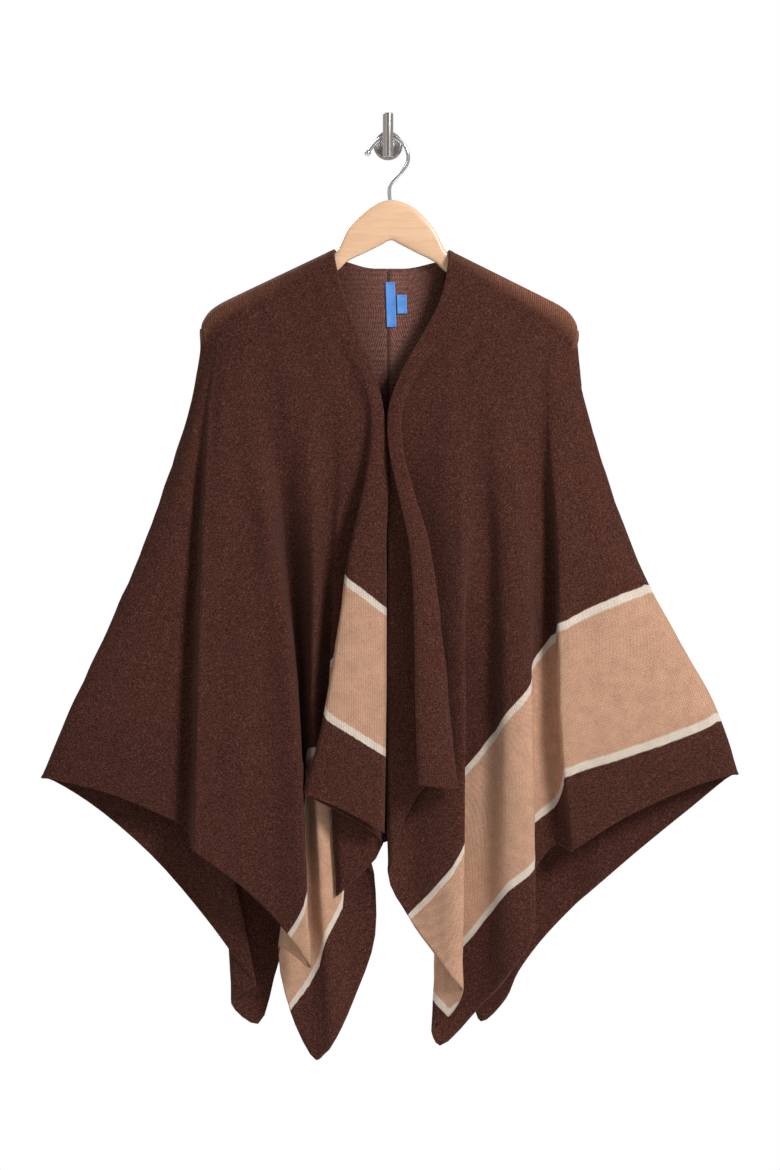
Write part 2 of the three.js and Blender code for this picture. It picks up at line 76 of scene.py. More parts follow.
# Fine mesh rows between two stations, from the shoulder down
FINE_ROWS = (6, 8, 18, 34, 40, 56)

# Each row is one fold line of a front, from the front opening to the side fold. along: place on the
# shoulder. x..., d...: place across and depth at the upper, bust, waist and low stations, then
# where the line meets the lower edge. inner, outer: heights of the two cream lines on it.
FRONT_COLUMNS = (
    "along", "x_up", "d_up", "x_bust", "d_bust", "x_waist", "d_waist",
    "x_low", "d_low", "x_end", "z_end", "d_end", "inner", "outer",
)
LEFT_FRONT = {
    "opening_edge": (0, -48, 38, -5, 46, -2, 62, -2, 66, -4, -759, 68, -517, -671),
    "strip_middle": (0.08, -58, 39, -10, 50, -23, 68, -37, 72, -48, -734, 72, -498, -648),
    "strip_fold": (0.15, -66, 40, -18, 51, -43, 66, -70, 70, -93, -716, 68, -480, -624),
    "under_strip": (0.19, -71, 40, -21, 48, -36, 55, -46, 58, -48, -740, 58, -500, -645),
    "inner_fold": (0.24, -77, 40, -26, 45, -30, 46, -17, 48, -6, -773, 50, -540, -685),
    "hem_turn": (0.3, -86, 41, -41, 45, -54, 41, -65, 43, -56, -829, 47, -575, -715),
    "hem_back": (0.34, -93, 41, -52, 46, -58, 41, -54, 36, -22, -797, 38, -560, -690),
    "hem_outer": (0.38, -99, 42, -62, 46, -63, 37, -58, 33, -14, -873, 34, -620, -705),
    "hem_lower": (0.43, -106, 42, -75, 48, -70, 41, -69, 36, -40, -948, 38, -680, -838),
    "small_ridge": (0.48, -114, 42, -90, 50, -80, 54, -82, 50, -62, -994, 50, -670, -876),
    "tip_valley": (0.53, -122, 42, -104, 49, -92, 44, -88, 39, -70, -1003, 46, -672, -902),
    "corner_tip": (0.565, -129, 42, -113, 47, -100, 35, -91, 31, -79, -1010, 43, -680, -915),
    "corner_outer": (0.6, -137, 42, -121, 46, -106, 30, -94, 26, -108, -955, 44, -780, -952),
    "deep_valley": (0.64, -146, 42, -131, 46, -113, 29, -98, 24, -119, -885, 38, -800, -990),
    "panel_edge": (0.7, -158, 42, -152, 50, -123, 62, -100, 68, -85, -906, 72, -827, -985),
    "soft_valley": (0.79, -170, 41, -167, 50, -146, 60, -130, 62, -120, -857, 66, -888, -1040),
    "panel_middle": (0.86, -179, 40, -183, 50, -174, 62, -166, 66, -160, -818, 68, -950, -1100),
    "wing_face": (0.91, -186, 38.5, -192, 47.5, -197.5, 62.5, -202, 68, -205, -784, 71.5, -1010, -1160),
    "wing_edge": (0.92, -188, 38, -196, 47, -204, 62, -209, 68, -212, -779, 72, -1020, -1170),
    "wing_lip": (0.93, -189, 37.5, -198, 45.5, -205.7, 54, -210.7, 58, -213.7, -777, 60, -1025, -1175),
    "wing_valley": (0.945, -192, 36, -201, 42, -212, 44, -221, 44, -222, -756, 46, -1040, -1190),
    "wing_inner": (0.965, -196, 34, -206, 42, -227, 48, -242, 50, -249, -740, 52, -1060, -1210),
    "wing_middle": (0.985, -200, 32, -211, 40, -251, 48, -297, 52, -311, -715, 52, -1080, -1230),
    "side_fold": (1, -207, 26, -219, 30, -275, 36, -351, 40, -381, -700, 42, -1100, -1250),
}
RIGHT_FRONT = {
    "flap_edge": (0, 58, 38, 1, 50, 25, 81, 30, 91, 33, -705, 93, -930, -1080),
    "flap_middle": (0.06, 66, 39, 5, 52, 36, 82, 49.5, 92, 54, -708, 94, -930, -1080),
    "flap_fold": (0.12, 74, 40, 13, 53, 48, 77, 67, 84, 75, -709, 86, -930, -1080),
    "flap_under": (0.17, 80, 41, 15, 49, 35, 64, 40, 68, 46, -702, 68, -925, -1075),
    "pleat_fold": (0.23, 87, 42, 7, 44, -2, 54, -3, 57, 0.5, -803, 58, -905, -1055),
    "hem_inner": (0.33, 98, 43, 31, 44, 25, 46, 22, 48, 23, -852, 54, -853, -1000),
    "hem_middle": (0.43, 110, 43, 54, 48, 52, 54, 47, 58, 50, -890, 66, -826, -980),
    "hem_curl": (0.51, 121, 43, 72, 53, 69, 62, 70, 68, 71, -918, 74, -800, -960),
    "band_edge": (0.58, 131, 43, 86, 54, 82, 66, 84, 70, 81, -932, 70, -774, -943),
    "scoop_low": (0.6, 134, 42, 90, 53, 86, 62, 78, 60, 67, -960, 61, -762, -957),
    "corner_fold": (0.62, 137, 42, 94, 53, 89, 57, 66, 50, 49, -972, 52, -735, -938),
    "corner_tip": (0.65, 141, 42, 100, 52, 94, 53, 74, 43, 57, -994, 44, -715, -912),
    "band_valley": (0.69, 147, 42, 109, 52, 111, 52, 111, 46, 105, -947, 46, -660, -851),
    "band_ridge": (0.74, 155, 41, 121, 52, 129, 63, 130, 66, 132, -915, 65, -632, -819),
    "arm_edge": (0.8, 165, 40, 139, 51, 151, 62, 157, 64, 161, -865, 64, -600, -794),
    "arm_under": (0.85, 173, 39, 153, 47, 160, 49, 159, 45, 155, -817, 50, -575, -750),
    "cuff_valley": (0.9, 180, 37, 168, 42, 177, 40, 180, 37, 184, -773, 42, -548, -728),
    "cuff_lip": (0.92, 184, 36.5, 176, 44, 186.3, 52, 188.3, 54, 201, -780, 53, -536, -700),
    "cuff_fold": (0.93, 186, 36, 178, 45, 187, 60, 189, 64, 202, -778, 62, -534, -694),
    "cuff_face": (0.937, 187, 36, 184, 45.5, 194.5, 61, 197, 64.5, 211, -773, 62.5, -531, -691),
    "cuff_inner": (0.96, 192, 34, 191, 44, 217, 58, 242, 62, 257, -744, 60, -515, -676),
    "cuff_middle": (0.985, 200, 32, 206, 40, 246, 52, 308, 56, 332, -710, 54, -501, -653),
    "side_fold": (1, 207, 26, 219, 30, 274, 36, 363, 42, 385, -696, 44, -492, -633),
}

# Each row is one fold line of a back, from the side fold to the centre seam. "along" is below 0 on
# the neckline.
BACK_COLUMNS = (
    "along", "x_waist", "d_waist", "x_low", "d_low", "x_end", "z_end", "d_end", "inner", "outer",
)
LEFT_BACK = {
    "wing_middle": (0.985, -253, 26, -317, 30, -330, -727, 30, -1100, -1250),
    "wing_inner": (0.965, -234, 21, -279, 25, -262, -785, 25, -1100, -1250),
    "wing_edge": (0.945, -217, 18, -244, 20, -200, -857, 22, -1100, -1250),
    "point_fold": (0.92, -196, 20, -200, 26, -146, -928, 34, -1100, -1250),
    "point_outer": (0.86, -176, 16, -186, 18, -172, -950, 24, -1100, -1250),
    "point_tip": (0.79, -154, 14, -158, 14, -144, -973, 16, -1100, -1250),
    "point_inner": (0.7, -134, 14, -136, 13, -121, -905, 13, -1100, -1250),
    "hem_ridge": (0.64, -118, 17, -118, 19, -108, -880, 20, -1100, -1250),
    "hem_valley": (0.565, -100, 14, -98, 13, -84, -896, 12, -1100, -1250),
    "hem_middle": (0.48, -80, 18, -76, 20, -62, -872, 22, -1100, -1250),
    "hem_inner": (0.38, -58, 14, -56, 13, -42, -842, 12, -1100, -1250),
    "hem_soft": (0.24, -40, 16, -38, 17, -27, -806, 18, -1100, -1250),
    "neck_corner": (0, -27, 13, -24, 13, -17, -781, 13, -1100, -1250),
    "neck_side": (-0.5, -14, 12, -12, 12, -9, -774, 12, -1100, -1250),
    "centre_seam": (-1, -0.15, 12, -0.15, 12, -0.15, -771, 12, -1100, -1250),
}
RIGHT_BACK = {
    "wing_middle": (0.985, 252, 26, 321, 30, 334, -733, 30, -505, -655),
    "wing_inner": (0.96, 233, 20, 277, 24, 277, -780, 24, -520, -688),
    "cuff_back": (0.93, 214, 17, 233, 20, 233, -818, 21, -535, -700),
    "arm_inner": (0.9, 200, 14, 210, 15, 206, -842, 15, -550, -715),
    "arm_valley": (0.85, 178, 15, 180, 16, 166, -884, 17, -580, -740),
    "arm_ridge": (0.8, 158, 19, 157, 22, 144, -914, 23, -608, -785),
    "band_back": (0.74, 139, 18, 136, 20, 130, -945, 22, -640, -835),
    "corner_tip": (0.69, 124, 15, 121, 16, 103, -970, 18, -664, -873),
    "hem_outer": (0.62, 108, 12, 103, 11, 86, -927, 12, -700, -915),
    "hem_ridge": (0.51, 88, 16, 84, 18, 70, -883, 20, -760, -975),
    "hem_valley": (0.43, 70, 18, 66, 22, 57, -850, 24, -850, -1010),
    "hem_middle": (0.23, 51, 14, 48, 14, 41, -823, 14, -920, -1070),
    "hem_inner": (0.12, 33, 12, 32, 12, 26, -801, 12, -960, -1110),
    "neck_corner": (0, 26, 12, 25, 12, 20, -789, 12, -980, -1130),
    "neck_side": (-0.5, 11, 12, 10, 12, 8, -776, 12, -1000, -1150),
    "centre_seam": (-1, 0.15, 12, 0.15, 12, 0.15, -771, 12, -1000, -1150),
}
NECK_ALONGS = (-0.018, -0.035, -0.3, -0.65, -1)
SHOULDERS = {
    "left": {"neck": (-59, -117), "tip": (-207, -205), "arm_bend": 0.2, "seam_x": -SEAM_GAP / 2},
    "right": {"neck": (67, -118), "tip": (210, -207), "arm_bend": 0.2, "seam_x": SEAM_GAP / 2},
}
ARM_BEND_POWER = 22
NECK_SEAM_Z = -137
NECK_SEAM_DEPTH = 11
NECK_SIDE_DEPTH = 13
NECK_TURN = 0.035
NECK_TURN_DROP = 7
NECK_CREST_SHARE = 0.4
BAND_WIDTH = 150

# Soft creases laid on a panel. Points are places across and heights in the front view;
# width is the half width and rise the height of the ridge, below 0 for a trough.
FRONT_CREASES = (
    {"points": ((-100, -250), (-130, -420), (-158, -640), (-170, -790)), "width": 11, "rise": 2.2},
    {"points": ((-150, -330), (-172, -480), (-186, -620), (-190, -780)), "width": 8, "rise": -1.8},
    {"points": ((-60, -180), (-80, -300), (-108, -420)), "width": 12, "rise": 2.0},
    {"points": ((90, -190), (80, -320), (74, -470)), "width": 10, "rise": -1.8},
    {"points": ((120, -260), (124, -430), (118, -560)), "width": 9, "rise": 1.8},
    {"points": ((236, -480), (262, -600), (290, -700)), "width": 14, "rise": 2.0},
    {"points": ((206, -430), (216, -560), (226, -700)), "width": 9, "rise": -1.6},
    {"points": ((-206, -270), (-214, -460), (-220, -630), (-221, -780)), "width": 5, "rise": -4.0},
    {"points": ((109, -380), (112, -460), (114, -630), (111, -800), (107, -920)), "width": 9, "rise": -3.0},
    {"points": ((174, -350), (179, -460), (182, -630), (186, -770)), "width": 4.5, "rise": -5.0},
)
BACK_CREASES = (
    {"points": ((-150, -260), (-170, -420), (-205, -640)), "width": 12, "rise": -3.6},
    {"points": ((-90, -220), (-86, -420), (-88, -640), (-92, -820)), "width": 10, "rise": 3.2},
    {"points": ((-40, -200), (-44, -420), (-46, -700)), "width": 9, "rise": -3.0},
    {"points": ((60, -220), (58, -430), (56, -700)), "width": 10, "rise": 3.2},
    {"points": ((130, -260), (146, -480), (150, -760)), "width": 12, "rise": -3.4},
    {"points": ((180, -330), (236, -520), (290, -680)), "width": 13, "rise": 3.6},
)

# Labels at the inside of the back neck
LABELS = {
    "neck_label": {"x": 2.4, "top": -152, "width": 10.5, "height": 50, "tilt": 0.03},
    "care_label": {"x": 15, "top": -166, "width": 11, "height": 21, "tilt": 0.03},
}

# Hanger: sections of the arms and of the crown (place across, top and height)
ARM_CLEARANCE = 2.3
ARM_NECK_DROP = 1.2
ARM_HEIGHT = 22
ARM_TIP_HEIGHT = 15
ARM_ALONGS = (0.965, 0.945, 0.88, 0.7, 0.35, 0)
CROWN_SECTIONS = (
    (-44, -94, 35.4), (-24, -74, 45.7), (-8, -64.5, 47.3), (3, -62, 44.5), (14, -64, 47.5), (30, -72, 47.7),
    (51, -94.5, 35.8),
)

# Hook of bent wire, in the hanger's middle plane: places across and heights
HOOK_ROUTE = (
    (2, -63.7), (1.5, -50), (3, -44.5), (15, -31), (22, -19), (20.5, -6),
    (12.5, 4), (3, 7.4), (-7, 6.5), (-15, 0), (-21.5, -8.5),
)
HOOK_BALL = (-22.5, -10)
BALL_RADIUS = 3.6
BALL_SEGMENTS = (28, 18)
HOOK_STEPS = 8
HOOK_SIDES = 20

# Peg: heights along the plate's axis, and along the bar
PLATE_RIM = 4
PLATE_FACE = 6
PLATE_BEVEL = 2
POST_FILLET = (1.2, 7.4)
PLATE_ROUNDING = 0.7
BAR_LOW = -16.5
BAR_HIGH = 32.5
BAR_BEVEL = 0.9
BAR_DISH = (1.8, 2.1, 0.3)
BAR_ROUNDING = 0.5
LATHE_STEPS = 72
CORNER_LIMIT = 2.2

# Cloth: the solids' wall, the share of the edge wall at the edges and inside, how far from the
# shoulder ridge and from the centre seam the surface stays plain, and its unevenness
CLOTH_WALL = 2.0
EDGE_WEIGHTS = (1.0, 0.95, 0.8)
INNER_WEIGHT = 0.66
FADE_ROWS = 14
FADE_COLUMNS = 10
CREASE_FADE = 5
WAVE_SCALE = 46
RIPPLE_SCALE = 14
RIPPLE_SHARE = 0.1
RIPPLE_SEED = 5
LEFT_SEED = 3
RIGHT_SEED = 8
SEED_SKEW = 0.37
WELD = 1e-6

# Stretched cloth: painted light through it at the shoulders, which grows toward the tips, and on the
# paler reverse side inside the back neck
SHOULDER_LIGHT = {"left": 0.7, "right": 1.25}
SHOULDER_REACH = 200
SHEER_WIDTH_LEAST = 0.3
SHEER_GROWTH = (1.6, 0.3)
# The right side of the neck gets more painted light, which lifts it out of the shadow that the right collar
# casts there
NECK_LIGHT = {"left": 0.72, "right": 1.0}
NECK_LIGHT_HALF = 70
NECK_LIGHT_LOW = -420
NECK_LIGHT_RISE = 200

# Centre back seam: fine rows between stations, the half sizes of its ridge and of its stitches
SEAM_STEPS = (4, 6, 24, 60, 60, 50)
SEAM_RIDGE = (1.6, 1.7)
SEAM_SIDES = 12
SEAM_STITCH = (1.9, 0.4, 0.55)
SEAM_STITCH_TURN = 28
SEAM_STITCH_LIFT = 0.1

# Labels: mesh steps, bend, and the half sizes and places of their stitches
LABEL_STEPS = (10, 40)
LABEL_CURL = 0.5
LABEL_WAVE = (0.6, 1.5)
LABEL_STITCH = (0.55, 0.22, 0.22)
LABEL_STITCH_MARGIN = 1
LABEL_STITCH_DROP = 1.6
LABEL_STITCH_LIFT = 0.15
BACK_SEARCH = 40
BACK_SEARCH_STEPS = (4, 4, 8, 8, 8, 8)

# Hanger: how square its sections are (1 is an ellipse, less is squarer), and its rounded ends
ARM_SQUARENESS = 0.9
NECK_SQUARENESS = 0.75
NECK_ALONG = 0.1
CROWN_SQUARENESS = 0.5
END_SECTIONS = 1.2
END_SIZE = 0.2

# Yarn: the cloth's v at which the colour ramp starts and its length, in millimetres, and how soft
# the cream lines' edges are
RAMP_FROM = -20
RAMP_RANGE = 190
LINE_SOFT = 0.4
LINE_WOBBLE = 0.0022
RIGHT_TONE = 1.06

# Noises of the materials: scale, detail and, where set, roughness and distortion
WOBBLE_NOISE = (260.0, 2.0)
FIBRE_NOISE = (520.0, 4.0, 0.85)
PATCH_NOISE = (75.0, 3.0, 0.6)
FLECK_NOISE = (640.0, 2.0)
RIBBON_NOISE = (90.0, 3.0)
PLY_NOISE = (1500.0, 3.0)
GRAIN_NOISE = (420.0, 6.0, 0.62)
BROAD_NOISE = (70.0, 3.0, 0.5, 0.8)
BRUSH_NOISE = (900.0, 4.0, 0.6)
WEAR_NOISE = (160.0, 4.0)

# Fibres: how strong they are on the cream lines and on the band, and shares of their colours
LINE_FIBRES = 0.3
BAND_FIBRES = 0.8
PALE_SHARE = 0.55
DEEP_SHARE = 0.6
DEEP_TINT = (0.45, 0.38, 0.33)
FLECK_SHARE = 0.6
# Painted highlight along the finished edges: how fast it fades inward, and its share
EDGE_HIGHLIGHT_POWER = 3.0
EDGE_HIGHLIGHT_SHARE = 0.35

# Loops: slant of a leg, steepness of the gap between wales, height between loops, share and relief
LOOP_SLANT = 1.3
GAP_STEEPNESS = 5.0
LOOP_LEAST = 0.4
LOOP_SHARE = 0.7
FIBRE_RELIEF = 0.9
KNIT_ROUGHNESS = 0.95

# Openings of the stretched knit: waves over its rows, the most that opens, and unevenness
ROW_PACE = 1.1
ROW_WAVE = 0.16
OPEN_MOST = 1.55
OPEN_LOOP = 0.3
UNEVEN_GAIN = 2.4
UNEVEN_BASE = -0.2

# Ribbon threads in metres, and the wood's grain, stretched along the arms
WARP_STEP = 0.0004
WEFT_STEP = 0.0005
GRAIN_STRETCH = (0.09, 1.0, 1.0)
FLECK_STRETCH = (0.3, 1.0, 1.0)
GRAIN_SHARE = 0.45
WOOD_FLECK_SIZE = 520.0
WOOD_FLECK_SHARE = 0.35

# Metals: roughness, and how fine the lines are along X, Y and Z
CHROME_LOOK = (0.12, (0.1, 0.1, 0.1))
PLATE_LOOK = (0.3, (1, 12, 1))
BAR_LOOK = (0.2, (6, 6, 0.2))
# Painted shade: the wall plate's nickel is darkened to stand for the shadow it sits in
PLATE_SHADE = 0.6

# Stage. The surround is the even light's brightness by its direction across, from the left at 0 to
# the right at 1: soft boxes at both sides with darker gaps beside them. Places are in metres.
SURROUND = (
    (0.0, 1.0), (0.2, 1.5), (0.3, 1.5), (0.36, 0.5), (0.5, 0.55), (0.62, 0.3), (0.7, 1.9), (0.8, 1.9),
    (0.87, 0.9),
)
LIGHT_TARGET = (0, 0, -0.5)
KEY_PLACE = (2.6, -2.8, 1.6)
KEY_SIZE = 1.3
BACK_PLACE = (-1.6, 2.6, 1.4)
BACK_SIZE = 1.6
BACK_SHARE = 0.5
FLOOR_HALF = 2
SENSOR = 36
FAR_LIMIT = 100


def read_table(columns, rows):
    return [dict(zip(columns, row)) for row in rows.values()]


def mix(a, b, share):
    return a + (b - a) * share


def point(x, z, depth):
    return np.array((x, -depth, z), float)


def smooth(points, spans):
    """Points along a centripetal Catmull-Rom curve, as the CAD source draws them. points has one
    entry a station; spans[i] steps lie between station i and i + 1."""
    pts = np.asarray(points, float)
    first = 2 * pts[0] - pts[1]
    last = 2 * pts[-1] - pts[-2]
    ext = np.concatenate([first[None], pts, last[None]])
    out = []
    for span, steps in enumerate(spans):
        p0, p1, p2, p3 = ext[span : span + 4]
        dt0, dt1, dt2 = [
            np.sum((b - a) ** 2, axis=-1, keepdims=True) ** 0.25 for a, b in ((p0, p1), (p1, p2), (p2, p3))
        ]
        dt1 = np.where(dt1 < 1e-4, 1.0, dt1)
        dt0 = np.where(dt0 < 1e-4, dt1, dt0)
        dt2 = np.where(dt2 < 1e-4, dt1, dt2)
        t1 = ((p1 - p0) / dt0 - (p2 - p0) / (dt0 + dt1) + (p2 - p1) / dt1) * dt1
        t2 = ((p2 - p1) / dt1 - (p3 - p1) / (dt1 + dt2) + (p3 - p2) / dt2) * dt1
        for step in range(steps):
            t = step / steps
            squared = -3 * p1 + 3 * p2 - 2 * t1 - t2
            cubed = 2 * p1 - 2 * p2 + t1 + t2
            out.append(p1 + t1 * t + squared * t**2 + cubed * t**3)
    out.append(pts[-1])
    return np.array(out)


def column_at(rows, name, along):
    """Value of a table's column at any "along", by straight lines between its rows."""
    for before, after in zip(rows, rows[1:]):
        if before["along"] >= along >= after["along"]:
            share = (before["along"] - along) / (before["along"] - after["along"])
            return mix(before[name], after[name], share)
    return rows[0][name] if along > rows[0]["along"] else rows[-1][name]


def ridge_point(side, along):
    """Point of the shoulder ridge (along 0 to 1) or of the neckline (along 0 to -1)."""
    shoulder = SHOULDERS[side]
    neck_x, neck_z = shoulder["neck"]
    if along >= 0:
        bend = mix(along, along**ARM_BEND_POWER, shoulder["arm_bend"])
        tip_x, tip_z = shoulder["tip"]
        return point(mix(neck_x, tip_x, along), mix(neck_z, tip_z, bend), RIDGE_DEPTH)
    share = -along
    over_arm = min(1, share / NECK_TURN)
    scoop = mix(neck_z, NECK_SEAM_Z, math.sin(share * math.pi / 2))
    turned = NECK_TURN_DROP * over_arm**2 * (1 - share)
    depth = mix(RIDGE_DEPTH, mix(NECK_SIDE_DEPTH, NECK_SEAM_DEPTH, share), over_arm)
    return point(mix(neck_x, shoulder["seam_x"], share), scoop - turned, depth)


def crest_point(ridge, side, spread):
    return ridge + np.array((0, -side * spread, -CREST_DROP))


def front_line(side, row):
    ridge = ridge_point(side, row["along"])
    spread = 0 if row["along"] == 1 else CREST_SPREAD
    return [
        ridge,
        crest_point(ridge, 1, spread),
        point(row["x_up"], mix(ridge[2], BUST_Z, UPPER_SHARE), row["d_up"]),
        point(row["x_bust"], BUST_Z, row["d_bust"]),
        point(row["x_waist"], WAIST_Z, row["d_waist"]),
        point(row["x_low"], LOW_Z, row["d_low"]),
        point(row["x_end"], row["z_end"], row["d_end"]),
    ]


def back_line(side, row):
    ridge = ridge_point(side, row["along"])
    if row["along"] >= 0:
        crest = crest_point(ridge, -1, CREST_SPREAD)
    else:
        crest = point(ridge[0], ridge[2] - CREST_DROP, mix(-ridge[1], BACK_DEPTH, NECK_CREST_SHARE))
    upper_x = mix(ridge[0], row["x_waist"], BACK_SWING_UPPER)
    return [
        ridge,
        crest,
        point(upper_x, mix(ridge[2], BUST_Z, UPPER_SHARE), BACK_DEPTH),
        point(mix(ridge[0], row["x_waist"], BACK_SWING_BUST), BUST_Z, BACK_DEPTH),
        point(row["x_waist"], WAIST_Z, row["d_waist"]),
        point(row["x_low"], LOW_Z, row["d_low"]),
        point(row["x_end"], row["z_end"], row["d_end"]),
    ]


def beside_fold(line, side):
    """A fold line close to the side fold, set inward and to the front (side 1) or back (side -1)."""
    inward = -math.copysign(FOLD_INSET, line[0][0])
    out = []
    for i, p in enumerate(line):
        across = inward * (FOLD_TOP_SHARE if i < 2 else 1)
        out.append(p + np.array((across, -side * FOLD_HALF if i else 0, 0)))
    return out


def panel_surface(side, fronts, backs, per_span):
    """The panel's middle surface at the fine steps: points[row, column], the column of the side
    fold, and for each column the heights of the two cream lines."""
    front_rows = read_table(FRONT_COLUMNS, fronts)
    back_rows = read_table(BACK_COLUMNS, backs)
    fold = front_rows[-1]
    fold_line = front_line(side, fold)
    lines = [front_line(side, row) for row in front_rows[:-1]]
    lines += [beside_fold(fold_line, 1), fold_line, beside_fold(fold_line, -1)]
    marks = [(row["inner"], row["outer"]) for row in front_rows[:-1]]
    marks += [(fold["inner"], fold["outer"])] * 3
    for along in [row["along"] for row in reversed(front_rows[:-1])] + list(NECK_ALONGS):
        row = {name: column_at(back_rows, name, along) for name in BACK_COLUMNS}
        row["along"] = along
        lines.append(back_line(side, row))
        marks.append((row["inner"], row["outer"]))
    columns = smooth(np.array(lines).swapaxes(0, 1), FINE_ROWS)
    grid = smooth(columns.swapaxes(0, 1), [per_span] * (len(lines) - 1)).swapaxes(0, 1)
    fold_column = len(front_rows) * per_span
    at = np.arange(grid.shape[1]) / per_span
    marks = np.array([np.interp(at, np.arange(len(lines)), values) for values in zip(*marks)])
    return grid, fold_column, marks


def surface_normals(grid):
    down = np.gradient(grid, axis=0)
    across = np.gradient(grid, axis=1)
    normals = np.cross(across, down)
    return normals / np.maximum(np.linalg.norm(normals, axis=2, keepdims=True), 1e-9)


def line_distance(x, z, points):
    """Distance of each place to a line of points, and how far along the line it is, 0 to 1."""
    best = np.full(x.shape, 1e9)
    place = np.zeros(x.shape)
    lengths = [math.dist(a, b) for a, b in zip(points, points[1:])]
    done = 0.0
    for (a, b), length in zip(zip(points, points[1:]), lengths):
        dx, dz = (b[0] - a[0]) / length, (b[1] - a[1]) / length
        t = np.clip((x - a[0]) * dx + (z - a[1]) * dz, 0, length)
        d = np.hypot(x - a[0] - t * dx, z - a[1] - t * dz)
        nearer = d < best
        best = np.where(nearer, d, best)
        place = np.where(nearer, (done + t) / sum(lengths), place)
        done += length
    return best, place


def crease_height(grid, creases):
    """Height of the listed soft creases over the middle surface, in millimetres."""
    x, z = grid[..., 0], grid[..., 2]
    height = np.zeros(x.shape)
    for crease in creases:
        distance, place = line_distance(x, z, crease["points"])
        ends = np.clip(np.minimum(place, 1 - place) * CREASE_FADE, 0, 1)
        height += crease["rise"] * np.exp(-((distance / crease["width"]) ** 2)) * ends
    return height


def noise_height(grid, scale, amount, seed):
    flat = grid.reshape(-1, 3)
    shift = Vector((seed, seed * SEED_SKEW, -seed))
    values = [noise.noise(Vector(p) / scale + shift) for p in flat.tolist()]
    return np.array(values).reshape(grid.shape[:2]) * amount


def cloth_coordinates(grid, marks):
    """Places on the cloth in millimetres: u along the courses, v from the outer cream line."""
    step = np.linalg.norm(np.diff(grid, axis=1), axis=2)
    u = np.concatenate([np.zeros((grid.shape[0], 1)), np.cumsum(step, axis=1)], axis=1)
    inner, outer = marks[0][None], marks[1][None]
    z = grid[..., 2]
    between = (z - outer) / (inner - outer) * BAND_WIDTH
    v = np.where(z > inner, BAND_WIDTH + z - inner, np.where(z < outer, z - outer, between))
    return u, v


def new_object(name, mesh):
    obj = bpy.data.objects.new(name, mesh)
    bpy.context.scene.collection.objects.link(obj)
    return obj


def mesh_object(name, bm, material):
    mesh = bpy.data.meshes.new(name)
    bm.to_mesh(mesh)
    bm.free()
    mesh.materials.append(material)
    for polygon in mesh.polygons:
        polygon.use_smooth = True
    return new_object(name, mesh)


def grid_bmesh(rows, columns, attributes=()):
    """A bmesh grid, with its layers made first, and its vertices listed by row and column."""
    bm = bmesh.new()
    bm.loops.layers.uv.new("cloth")
    for attribute in attributes:
        bm.verts.layers.float.new(attribute)
    bm.verts.layers.deform.verify()
    bmesh.ops.create_grid(bm, x_segments=columns - 1, y_segments=rows - 1, size=1)
    verts = [[None] * columns for _ in range(rows)]
    for v in bm.verts:
        i = round((v.co.x + 1) / 2 * (columns - 1))
        j = round((1 - v.co.y) / 2 * (rows - 1))
        verts[j][i] = v
    return bm, verts


